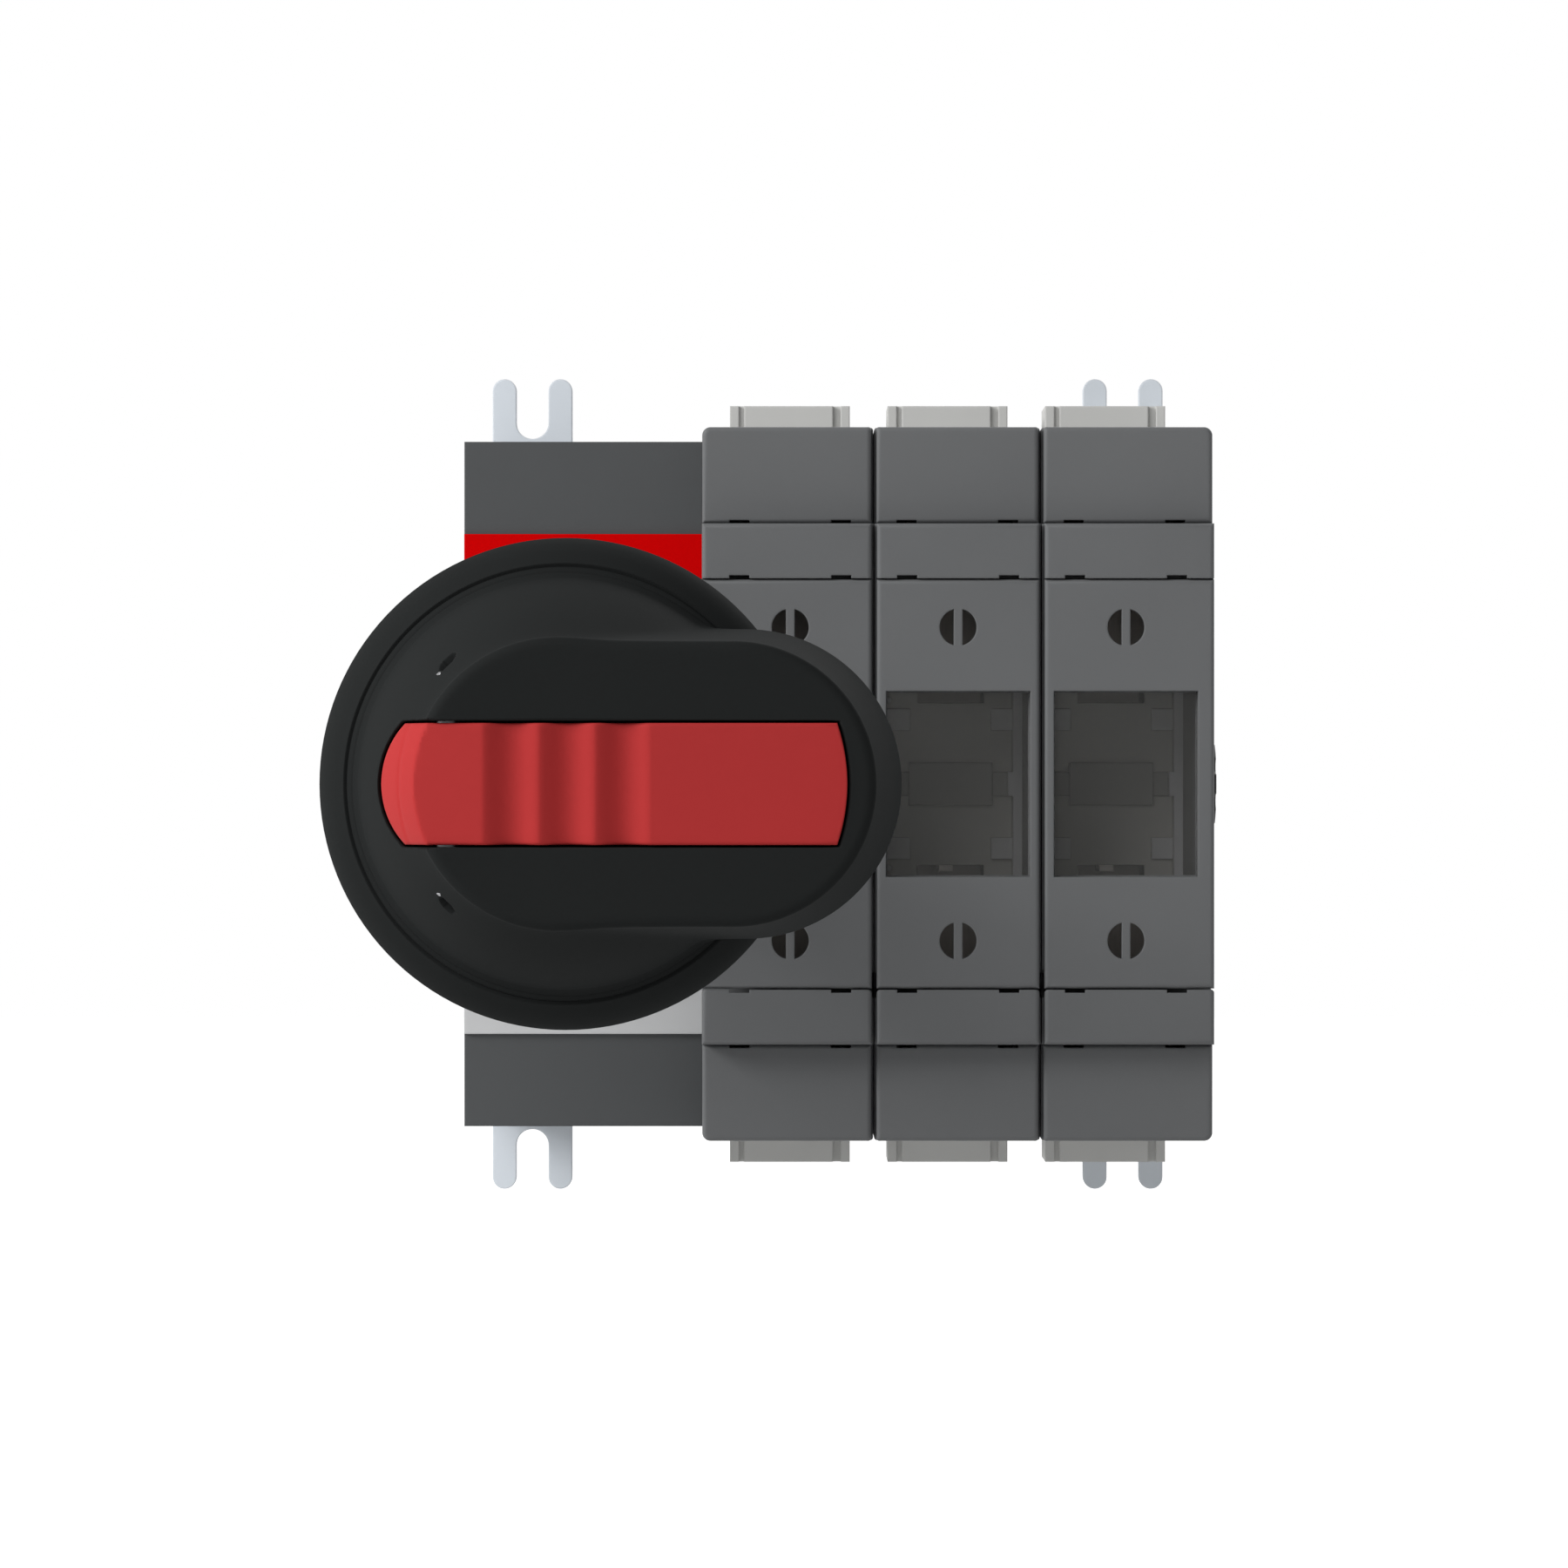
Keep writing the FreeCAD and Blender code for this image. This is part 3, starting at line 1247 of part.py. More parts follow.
def padlock_lever():
    """Red lever that rocks on a pin and lifts out of the grip to take a padlock."""
    face = f"({GRIP_TOP} + lever_proud)"
    body = new_body("lever_body")
    pad(body, draw(body, "plan", lever_plan("0"), LEVER_HEEL), "heel_thickness + lever_proud")
    across = between("0", f"lever_half_width + {BEYOND}")
    past_end = f"handle_axis_x + lever_right + {BEYOND}"
    outline = fuse(dome("lever_trim", "lever_proud"),
                   block(("handle_axis_x", past_end), (f"{LEVER_HEEL} - {BEYOND}", face), across))
    hollows = [
        block((f"{PIVOT_X} + heel_step", past_end), (f"{LEVER_HEEL} - {BEYOND}", LEVER_REAR), across),
        rod("z", "pivot_radius + running_gap", across, x=PIVOT_X, d=PIVOT_DEPTH),
    ]
    for index in range(3):
        hollows.append(rod(
            "z", "scallop_radius", across,
            x=f"handle_axis_x + scallop_first + {index} * scallop_pitch",
            d=f"{face} + scallop_radius - scallop_depth"))
    return cut(common(body, outline), *hollows)


def lever_pin():
    """Steel pin that the padlock lever rocks on."""
    return rod("z", "pivot_radius", between("0", "pivot_half_length"), x=PIVOT_X, d=PIVOT_DEPTH)


def handle_shaft():
    """Square extension shaft between the mechanism and the door handle."""
    half = "handle_shaft_square / 2"
    return block(between("handle_axis_x", half), (SHAFT_START, SHAFT_END), between("0", half))


for pole in POLES:
    number = pole + 1
    node(f"pole_base_{number}", pole_base(pole))
    node(f"pole_body_{number}", pole_body(pole))
    node(f"upper_terminal_cover_{number}", terminal_cover(pole, 1))
    node(f"lower_terminal_cover_{number}", terminal_cover(pole, -1))
    node(f"fuse_cover_{number}", fuse_cover(pole))
    node(f"window_pane_{number}", window_pane(pole))
    node(f"rotor_{number}", rotor(pole))
    node(f"contact_bridges_{number}", contact_bridges(pole))
    node(f"terminal_bars_{number}", terminal_bars(pole))
    node(f"fuse_clips_{number}", fuse_clips(pole))
    node(f"upper_shroud_{number}", terminal_shroud(pole, 1))
    node(f"lower_shroud_{number}", terminal_shroud(pole, -1))
ends = [(pole, level) for pole in POLES for level in SIDES]
node("terminal_cages", group(*[terminal_cage(*end) for end in ends]))
node("terminal_screws", group(*[terminal_screw(*end) for end in ends]))
node("tie_rods", group(*[piece(level) for piece in (tie_rod, tie_nut) for level in SIDES]))
node("left_mounting_rail", mounting_rail("-foot_x"))
node("right_mounting_rail", mounting_rail("foot_x"))
node("mechanism_base", mechanism_base())
node("mechanism_cover", mechanism_cover())
node("red_label_plate", label_plate("label_split", "label_half_height", False))
node("grey_label_plate", label_plate("-label_half_height", "label_split", True))
node("gear_plate", gear_plate())
node("drive_gear", drive_gear())
node("drive_slide", drive_slide())
node("cross_gear", cross_gear())
node("cross_shaft", cross_shaft())
node("side_cap", side_cap())
node("handle_shaft", handle_shaft())
node("handle_flange", handle_flange())
node("flange_gasket", flange_gasket())
node("handle_grip", finished_grip())
node("retaining_ring", retaining_ring())
node("set_screw", set_screw())
node("padlock_lever", padlock_lever())
node("lever_pin", lever_pin())
doc.recompute()

for thing in doc.Objects:
    if "Invalid" in thing.State or "Error" in thing.State:
        raise RuntimeError(f"{thing.Label} ({thing.Name}) failed: {thing.State}")
for thing in nodes:
    if thing.Shape.isNull() or not thing.Shape.isValid() or not thing.Shape.Solids:
        raise RuntimeError(f"{thing.Label} has no valid solid")

os.makedirs("parts", exist_ok=True)
for thing in nodes:
    thing.Shape.exportStep(f"parts/{thing.Label}.step")
print(len(nodes), "pieces written")
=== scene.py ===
"""A three-pole switch fuse with its door handle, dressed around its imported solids.

Metres, in the solids' own frame: X to the right, Z up, and the front looks along -Y.
"""
import json
import math

import bmesh
import bpy
import numpy as np
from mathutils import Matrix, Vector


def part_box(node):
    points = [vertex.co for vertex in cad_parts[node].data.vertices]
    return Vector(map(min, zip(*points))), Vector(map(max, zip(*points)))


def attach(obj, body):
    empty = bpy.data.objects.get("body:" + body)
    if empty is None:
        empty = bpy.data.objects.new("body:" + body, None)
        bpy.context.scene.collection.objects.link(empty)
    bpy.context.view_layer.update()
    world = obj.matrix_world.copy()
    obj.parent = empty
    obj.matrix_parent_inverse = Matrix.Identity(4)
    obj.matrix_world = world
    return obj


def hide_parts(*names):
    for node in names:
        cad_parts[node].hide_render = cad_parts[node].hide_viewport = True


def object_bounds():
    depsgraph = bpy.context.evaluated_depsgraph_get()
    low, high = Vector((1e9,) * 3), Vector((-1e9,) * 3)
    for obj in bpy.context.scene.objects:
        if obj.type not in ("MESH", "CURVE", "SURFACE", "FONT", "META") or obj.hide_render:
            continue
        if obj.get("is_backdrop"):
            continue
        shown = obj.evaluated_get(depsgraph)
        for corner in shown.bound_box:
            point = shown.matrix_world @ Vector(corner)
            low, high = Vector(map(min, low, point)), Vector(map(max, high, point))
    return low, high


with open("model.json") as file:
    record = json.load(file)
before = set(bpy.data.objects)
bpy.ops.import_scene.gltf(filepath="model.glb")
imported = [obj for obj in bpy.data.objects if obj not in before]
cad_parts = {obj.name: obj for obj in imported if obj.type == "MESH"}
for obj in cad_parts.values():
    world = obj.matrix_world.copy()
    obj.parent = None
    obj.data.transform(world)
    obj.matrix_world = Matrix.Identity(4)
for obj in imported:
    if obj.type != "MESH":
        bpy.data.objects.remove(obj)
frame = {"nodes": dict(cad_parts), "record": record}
cad_low, cad_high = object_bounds()
scene = bpy.context.scene
scene.view_settings.view_transform = "Standard"

# The viewpoint: a long lens square to the front, a little left of the object's middle,
# level with the handle's axis.
MM = 0.001
FRAME_PIXELS = 1800
LENS_PIXELS = 6643
SENSOR = 36
EYE = (-6.8 * MM, -904 * MM, 0)

camera = bpy.data.objects.new("camera", bpy.data.cameras.new("camera"))
camera.data.sensor_width = SENSOR
camera.data.lens = SENSOR * LENS_PIXELS / FRAME_PIXELS
camera.data.clip_end = 20
camera.location = EYE
camera.rotation_euler = (math.pi / 2, 0, 0)
scene.collection.objects.link(camera)
scene.camera = camera


# The studio: a white room with a pale floor well below the object, which shows its shadow and
# turns white further out. One lamp stands beside the object on the left and rakes over the front,
# one hangs in front above, and a wide one lights the back.
def add(tree, kind, inputs=None, **settings):
    """A shader node with its settings, its inputs set to values or joined to sockets."""
    made = tree.nodes.new("ShaderNode" + kind)
    for name, setting in settings.items():
        setattr(made, name, setting)
    for name, given in (inputs or {}).items():
        if isinstance(given, bpy.types.NodeSocket):
            tree.links.new(given, made.inputs[name])
        else:
            made.inputs[name].default_value = given
    return made


def new_material(name):
    """A material with no nodes yet, and its tree."""
    material = bpy.data.materials.new(name)
    material.use_nodes = True
    material.node_tree.nodes.clear()
    return material, material.node_tree


def looked_at(tree):
    """One for what is seen directly, in gloss or through glass, and zero for light."""
    path = add(tree, "LightPath")
    either = add(tree, "Math", {0: path.outputs["Is Camera Ray"], 1: path.outputs["Is Glossy Ray"]},
                 operation="MAXIMUM")
    return add(tree, "Math", {0: either.outputs[0], 1: path.outputs["Is Transmission Ray"]},
               operation="MAXIMUM").outputs[0]


ROOM_LIGHT = 0.35
FLOOR_DROP = 95 * MM
FLOOR_HALF = 3
NEAR_LIFT = 0.25
FAR_LIFT = 0.77
LIFT_START = 220 * MM
LIFT_END = 450 * MM

world = bpy.data.worlds.new("white_room")
world.use_nodes = True
scene.world = world
tree = world.node_tree
tree.nodes.clear()
strength = add(tree, "MapRange", {"Value": looked_at(tree), "To Min": ROOM_LIGHT, "To Max": 1.0})
room = add(tree, "Background", {"Color": (1, 1, 1, 1), "Strength": strength.outputs[0]})
add(tree, "OutputWorld", {"Surface": room.outputs[0]})

floor_paint, tree = new_material("pale_floor")
floor_paint.cycles.emission_sampling = "NONE"
plain = add(tree, "BsdfPrincipled", {"Base Color": (0.7, 0.7, 0.7, 1), "Roughness": 0.9,
                                     "Specular IOR Level": 0.1})
spot = add(tree, "VectorMath", {0: add(tree, "TexCoord").outputs["Object"]}, operation="LENGTH")
away = add(tree, "MapRange", {"Value": spot.outputs["Value"], "From Min": LIFT_START,
                              "From Max": LIFT_END, "To Min": NEAR_LIFT, "To Max": FAR_LIFT},
           interpolation_type="SMOOTHSTEP")
lift = add(tree, "Emission", {"Color": (1, 1, 1, 1), "Strength": away.outputs[0]})
lifted = add(tree, "AddShader", {0: plain.outputs[0], 1: lift.outputs[0]})
shown = add(tree, "MixShader", {"Fac": looked_at(tree), 1: plain.outputs[0], 2: lifted.outputs[0]})
add(tree, "OutputMaterial", {"Surface": shown.outputs[0]})

mesh = bpy.data.meshes.new("floor")
level = cad_low.z - FLOOR_DROP
mesh.from_pydata([(-FLOOR_HALF, -FLOOR_HALF, level), (FLOOR_HALF, -FLOOR_HALF, level),
                  (FLOOR_HALF, FLOOR_HALF, level), (-FLOOR_HALF, FLOOR_HALF, level)],
                 [], [(0, 1, 2, 3)])
mesh.materials.append(floor_paint)
floor = bpy.data.objects.new("floor", mesh)
scene.collection.objects.link(floor)
floor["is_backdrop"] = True


def soft_lamp(name, place, size, watts):
    """A square lamp that faces the object's middle."""
    lamp = bpy.data.objects.new(name, bpy.data.lights.new(name, "AREA"))
    lamp.data.size = size
    lamp.data.energy = watts
    middle = (cad_low + cad_high) / 2
    lamp.location = place
    lamp.rotation_euler = (middle - lamp.location).to_track_quat("-Z", "Y").to_euler()
    scene.collection.objects.link(lamp)


soft_lamp("side_lamp", (-0.9, -0.4, 0.45), 0.4, 10)
soft_lamp("front_lamp", (-0.6, -1.15, 0.65), 0.9, 8.2)
soft_lamp("back_lamp", (0.9, 1.3, 1.0), 1.2, 14)


# The poles: each has a rear and a front moulding and a cover over the terminals at either end.
# They are fibre-filled dark grey plastic with the fine matt grain of a spark-eroded mould,
# rubbed a little paler where hands and tools meet the corners.
def effect(name, inputs, outputs):
    """A group with its sockets, and its two end nodes."""
    group = bpy.data.node_groups.new(name, "ShaderNodeTree")
    for label, given in inputs:
        group.interface.new_socket(label, in_out="INPUT",
                                   socket_type="NodeSocketFloat").default_value = given
    for label, kind in outputs:
        group.interface.new_socket(label, in_out="OUTPUT", socket_type="NodeSocket" + kind)
    return group, group.nodes.new("NodeGroupInput"), group.nodes.new("NodeGroupOutput")


def place_effect(tree, group, inputs):
    """The group as a node of a material, with its own values."""
    made = tree.nodes.new("ShaderNodeGroup")
    made.node_tree = group
    for name, given in inputs.items():
        made.inputs[name].default_value = given
    return made


mould_grain, enter, leave = effect(
    "mould_grain", [("Grain Size", 0.25 * MM), ("Drift Size", 20 * MM)],
    [("Height", "Float"), ("Drift", "Float")])
at = add(mould_grain, "TexCoord").outputs["Object"]
for label, source, detail in (("Height", "Grain Size", 2.0), ("Drift", "Drift Size", 4.0)):
    scale = add(mould_grain, "Math", {0: 1.0, 1: enter.outputs[source]}, operation="DIVIDE")
    noise = add(mould_grain, "TexNoise", {"Vector": at, "Scale": scale.outputs[0], "Detail": detail})
    mould_grain.links.new(noise.outputs["Fac"], leave.inputs[label])

# A corner mask from the Bevel node's normal. It carries wear where it pales corners and painted shade
# where it darkens them.
corner_wear_and_shade, enter, leave = effect(
    "corner_wear_and_shade", [("Width", 0.4 * MM), ("Breakup", 0.5)], [("Mask", "Float"), ("Normal", "Vector")])
soft = add(corner_wear_and_shade, "Bevel", {"Radius": enter.outputs["Width"]}, samples=4)
flat = add(corner_wear_and_shade, "NewGeometry").outputs["Normal"]
same = add(corner_wear_and_shade, "VectorMath", {0: soft.outputs[0], 1: flat}, operation="DOT_PRODUCT")
corner = add(corner_wear_and_shade, "MapRange", {"Value": same.outputs["Value"], "From Min": 0.995,
                                         "From Max": 0.8}, interpolation_type="SMOOTHSTEP")
patches = add(corner_wear_and_shade, "TexNoise", {"Vector": add(corner_wear_and_shade, "TexCoord").outputs["Object"],
                                          "Scale": 260.0, "Detail": 5.0})
wear_and_shade = add(corner_wear_and_shade, "MapRange", {"Value": patches.outputs["Fac"], "From Min": 0.35,
                                       "From Max": 0.65})
broken = add(corner_wear_and_shade, "Mix", {"Factor": enter.outputs["Breakup"], "A": 1.0,
                                    "B": wear_and_shade.outputs[0]}, data_type="FLOAT")
mask = add(corner_wear_and_shade, "Math", {0: corner.outputs[0], 1: broken.outputs[0]}, operation="MULTIPLY")
corner_wear_and_shade.links.new(mask.outputs[0], leave.inputs["Mask"])
corner_wear_and_shade.links.new(soft.outputs[0], leave.inputs["Normal"])


def toned(colour, factor):
    """A colour made lighter or darker."""
    return tuple(min(1.0, c * factor) for c in colour[:3]) + (1.0,)


def moulded_plastic(name, colour, roughness=0.5, gloss=0.15, grain=0.25 * MM, relief=0.01 * MM,
                    corner_strength=0.35, wear_and_shade=1.8):
    """Moulded plastic: fine grain, a slow drift of tone, and corners paler by wear where the
    corner factor is over one, and darker as painted shade where it is under one."""
    material, tree = new_material(name)
    skin = place_effect(tree, mould_grain, {"Grain Size": grain})
    edge = place_effect(tree, corner_wear_and_shade, {"Width": 0.35 * MM})
    drift = add(tree, "Mix", {"Factor": skin.outputs["Drift"], "A": toned(colour, 0.94),
                              "B": toned(colour, 1.06)}, data_type="RGBA")
    # A corner factor over one pales the corners as wear. One under one darkens them as painted shade.
    amount = add(tree, "Math", {0: edge.outputs["Mask"], 1: corner_strength}, operation="MULTIPLY")
    tint = add(tree, "Mix", {"Factor": amount.outputs[0], "A": drift.outputs["Result"],
                             "B": toned(colour, wear_and_shade)}, data_type="RGBA")
    rough = add(tree, "MapRange", {"Value": skin.outputs["Drift"], "To Min": roughness - 0.05,
                                   "To Max": roughness + 0.07})
    bump = add(tree, "Bump", {"Height": skin.outputs["Height"], "Distance": relief,
                              "Normal": edge.outputs["Normal"], "Strength": 1.0})
    surface = add(tree, "BsdfPrincipled", {
        "Base Color": tint.outputs["Result"], "Roughness": rough.outputs[0],
        "Normal": bump.outputs[0], "Specular IOR Level": gloss})
    add(tree, "OutputMaterial", {"Surface": surface.outputs[0]})
    return material


POLES = (1, 2, 3)
ENDS = ("upper", "lower")
WELD = 0.002 * MM

nodes = frame["nodes"]
body_of = {node: body for body, held in frame["record"]["behaviour"]["bodies"].items()
           for node in held}


def finish(material, *names):
    """Gives solids whose flat faces are right as they are their material."""
    for name in names:
        nodes[name].data.materials.clear()
        nodes[name].data.materials.append(material)


def stand_for(piece, node):
    """Makes a piece take a solid's place: its body and its visibility."""
    scene.collection.objects.link(piece)
    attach(piece, body_of[node])
    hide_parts(node)


def shade_round(mesh, material, sharp):
    """Smooth shading over rounds, with edges kept where faces meet at more than an angle."""
    mesh.materials.clear()
    mesh.materials.append(material)
    mesh.shade_smooth()
    mesh.set_sharp_from_angle(angle=math.radians(sharp))


def read_rows(items, field):
    """One row of X, Y and Z for each vertex or face of a mesh."""
    rows = np.empty((len(items), 3))
    items.foreach_get(field, rows.ravel())
    return rows


def rounded(material, *names, sharp=32):
    """Merged copies of solids, so that their round faces shade smoothly. Returns the last."""
    for name in names:
        packed = nodes[name].data
        spots = read_rows(packed.vertices, "co")
        corners = np.empty((len(packed.polygons), 3), int)
        packed.loops.foreach_get("vertex_index", corners.ravel())
        mesh = bpy.data.meshes.new(name + "_skin")
        mesh.from_pydata(spots.tolist(), [], corners.tolist())
        soup = bmesh.new()
        soup.from_mesh(mesh)
        bmesh.ops.remove_doubles(soup, verts=soup.verts, dist=WELD)
        soup.to_mesh(mesh)
        soup.free()
        shade_round(mesh, material, sharp)
        stand_for(bpy.data.objects.new(mesh.name, mesh), name)
    return mesh


housing_grey = moulded_plastic("housing_grey", (0.112, 0.115, 0.118))
for pole in POLES:
    rounded(housing_grey, f"pole_base_{pole}")
    for end in ENDS:
        rounded(housing_grey, f"{end}_terminal_cover_{pole}")

# The fuse bays: the front moulding's open box, whose back panel shows through the window. Its
# back panel, rib, pads, ledge and guide pips have tones set far paler than the housing they are
# moulded with. This is painted light for the light that the deep bay lacks, and they differ in tone
# among themselves. Painted shade darkens their edges.
BAY_BACK = 31.5 * MM
BAY_HALF = 10.75 * MM
DETAIL_RISE = 2.6 * MM
RIB_RISE = 1.2 * MM
PAD_RISE = 0.8 * MM
PAD_LOW = 8.1 * MM
LEDGE_RISE = 2.5 * MM
NEARLY = 0.1 * MM


def pole_middle(pole):
    """Where the middle of a pole lies along X, from its fuse clips."""
    clips_low, clips_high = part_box(f"fuse_clips_{pole}")
    return (clips_low.x + clips_high.x) / 2


# Painted light: paler than the housing's own grey. A corner factor under one adds painted shade at the
# edges.
panel_painted_light = moulded_plastic("panel_painted_light", (0.56, 0.55, 0.52), corner_strength=0.9, wear_and_shade=0.4)
rib_painted_light = moulded_plastic("rib_painted_light", (0.34, 0.336, 0.32), corner_strength=0.9, wear_and_shade=0.4)
ledge_painted_light = moulded_plastic("ledge_painted_light", (0.66, 0.66, 0.68), corner_strength=0.5, wear_and_shade=0.5)
for pole in POLES:
    mesh = rounded(housing_grey, f"pole_body_{pole}")
    for material in (panel_painted_light, rib_painted_light, ledge_painted_light):
        mesh.materials.append(material)
    centres = read_rows(mesh.polygons, "center")
    side, rise = centres[:, 0] - pole_middle(pole), -centres[:, 1] - BAY_BACK
    tone = np.where((np.abs(side) < BAY_HALF) & (rise > -NEARLY) & (rise < DETAIL_RISE), 1, 0)
    tone[(tone == 1) & (np.abs(rise - RIB_RISE) < NEARLY)] = 2
    tone[(tone == 1) & (np.abs(rise - LEDGE_RISE) < NEARLY)] = 3
    low = np.abs(centres[:, 2]) < PAD_LOW - NEARLY
    tone[(tone == 1) & (np.abs(rise - PAD_RISE) < NEARLY)] = 3
    tone[(tone == 3) & (np.abs(rise - PAD_RISE) < NEARLY) & low] = 2
    mesh.polygons.foreach_set("material_index", tone)

# The fuse covers: a door on each pole, hinged near its lower edge, of the same grey plastic,
# with a hole for a test probe over either end of the fuse-link. The window shows right up to the
# edge of its opening, so the rebate that it rests in is cut back to a narrow line.
REBATE_HALF = (9.3 * MM, 12.3 * MM)
CUT_BACK = 0.9 * MM

for pole in POLES:
    mesh = rounded(housing_grey, f"fuse_cover_{pole}")
    spots = read_rows(mesh.vertices, "co")
    out = spots[:, ::2] - (pole_middle(pole), 0)
    edge = np.all(np.abs(out) < np.add(REBATE_HALF, NEARLY), axis=1)
    reaches = edge[:, None] & (np.abs(out) > np.subtract(REBATE_HALF, NEARLY))
    spots[:, ::2] += np.where(reaches, np.sign(out) * CUT_BACK, 0)
    mesh.vertices.foreach_set("co", spots.ravel())
    mesh.update()


# The windows: smoked clear plastic snapped into the covers from behind, through which the
# fuse bay's back panel just shows.
def smoked_plastic(name, colour, roughness, density):
    """Clear plastic dyed dark: a polished skin that hides a share of what is behind it, and
    casts no shadow of its own."""
    material, tree = new_material(name)
    skin = place_effect(tree, mould_grain, {"Grain Size": 4 * MM})
    rough = add(tree, "MapRange", {"Value": skin.outputs["Height"], "To Min": roughness,
                                   "To Max": roughness + 0.05})
    tint = add(tree, "Mix", {"Factor": skin.outputs["Drift"], "A": toned(colour, 0.95),
                             "B": toned(colour, 1.05)}, data_type="RGBA")
    cloud = add(tree, "MapRange", {"Value": skin.outputs["Drift"], "To Min": density - 0.01,
                                   "To Max": density + 0.01})
    lit = add(tree, "Math", {0: 1.0, 1: add(tree, "LightPath").outputs["Is Shadow Ray"]},
              operation="SUBTRACT")
    seen = add(tree, "Math", {0: cloud.outputs[0], 1: lit.outputs[0]}, operation="MULTIPLY")
    surface = add(tree, "BsdfPrincipled", {
        "Base Color": tint.outputs["Result"], "Roughness": rough.outputs[0],
        "Alpha": seen.outputs[0], "Specular IOR Level": 0.3})
    add(tree, "OutputMaterial", {"Surface": surface.outputs[0]})
    return material


smoked_window = smoked_plastic("smoked_window", (0.07, 0.07, 0.067), 0.05, 0.22)
finish(smoked_window, *[f"window_pane_{pole}" for pole in POLES])

# The switch inside each pole: a black rotor on the square cross shaft carries two contact
# bridges, which meet the bars to the terminals and the legs of the fuse clips.
rotor_black = moulded_plastic("rotor_black", (0.03, 0.03, 0.03))
for pole in POLES:
    rounded(rotor_black, f"rotor_{pole}")


# The current paths: bars, bridges and clips of hard copper strip under silver plating,
# with the fine lines of rolling along them. Their metal is painted far darker than plating is:
# this is painted shade for where they lie deep in slots and probe holes.
def worked_metal(name, colour, roughness=0.35, along=(1, 1, 12), relief=0.004 * MM, corner_strength=0.3):
    """Drawn or rolled metal: fine lines along its length and brighter rubbed corners."""
    material, tree = new_material(name)
    at = add(tree, "Mapping", {"Vector": add(tree, "TexCoord").outputs["Object"],
                               "Scale": tuple(1 / stretch for stretch in along)})
    lines = add(tree, "TexNoise", {"Vector": at.outputs[0], "Scale": 3000.0, "Detail": 3.0})
    edge = place_effect(tree, corner_wear_and_shade, {"Width": 0.2 * MM})
    tone = add(tree, "Mix", {"Factor": lines.outputs["Fac"], "A": toned(colour, 0.85),
                             "B": toned(colour, 1.12)}, data_type="RGBA")
    amount = add(tree, "Math", {0: edge.outputs["Mask"], 1: corner_strength}, operation="MULTIPLY")
    tint = add(tree, "Mix", {"Factor": amount.outputs[0], "A": tone.outputs["Result"],
                             "B": toned(colour, 1.5)}, data_type="RGBA")
    rough = add(tree, "MapRange", {"Value": lines.outputs["Fac"], "To Min": roughness - 0.08,
                                   "To Max": roughness + 0.1})
    bump = add(tree, "Bump", {"Height": lines.outputs["Fac"], "Distance": relief,
                              "Normal": edge.outputs["Normal"], "Strength": 1.0})
    surface = add(tree, "BsdfPrincipled", {
        "Base Color": tint.outputs["Result"], "Roughness": rough.outputs[0],
        "Normal": bump.outputs[0], "Metallic": 1.0})
    add(tree, "OutputMaterial", {"Surface": surface.outputs[0]})
    return material


# Painted dark: painted shade for the strips deep in the slots and probe holes.
copper_painted_dark = worked_metal("copper_painted_dark", (0.23, 0.215, 0.2), roughness=0.38)
for strip in ("contact_bridges", "terminal_bars", "fuse_clips"):
    finish(copper_painted_dark, *[f"{strip}_{pole}" for pole in POLES])

# The terminals: zinc plated steel cages, each closed by a slotted screw from the front, and
# a pale sleeve round every mouth that keeps fingers away.
zinc_steel = worked_metal("zinc_plated_steel", (0.6, 0.6, 0.58))
finish(zinc_steel, "terminal_cages")
rounded(zinc_steel, "terminal_screws")
shroud_grey = moulded_plastic("shroud_grey", (0.52, 0.52, 0.505))
for end in ENDS:
    finish(shroud_grey, *[f"{end}_shroud_{pole}" for pole in POLES])

# The frame that holds the poles in a row: two long steel rods with sunk nuts at the right
# flank, and two pale rails behind, with an open slot at each end for the mounting screws.
rounded(zinc_steel, "tie_rods")
pale_rail = moulded_plastic("pale_rail", (0.575, 0.615, 0.66), gloss=0.3)
rounded(pale_rail, "left_mounting_rail", "right_mounting_rail")

# The mechanism's housing: a deep rear moulding and a front one that hooks into it, in a darker
# grey, with a red and a pale plate let into the front. Both plates are left bare.
mechanism_grey = moulded_plastic("mechanism_grey", (0.062, 0.065, 0.067))
finish(mechanism_grey, "mechanism_base", "mechanism_cover")
finish(moulded_plastic("red_plate", (0.51, 0.0005, 0.001), relief=0.003 * MM, gloss=0.01, corner_strength=0.1),
       "red_label_plate")
finish(moulded_plastic("pale_plate", (0.46, 0.465, 0.47), relief=0.003 * MM, corner_strength=0.1),
       "grey_label_plate")

# The drive: the handle's gear moves a slide with two racks, and the slide turns the gear on
# the square cross shaft. The gears and the slide are black moulded nylon.
nylon_black = moulded_plastic("nylon_black", (0.04, 0.04, 0.041), roughness=0.4)
rounded(nylon_black, "drive_gear", "cross_gear")
finish(nylon_black, "drive_slide")
finish(zinc_steel, "gear_plate", "cross_shaft")


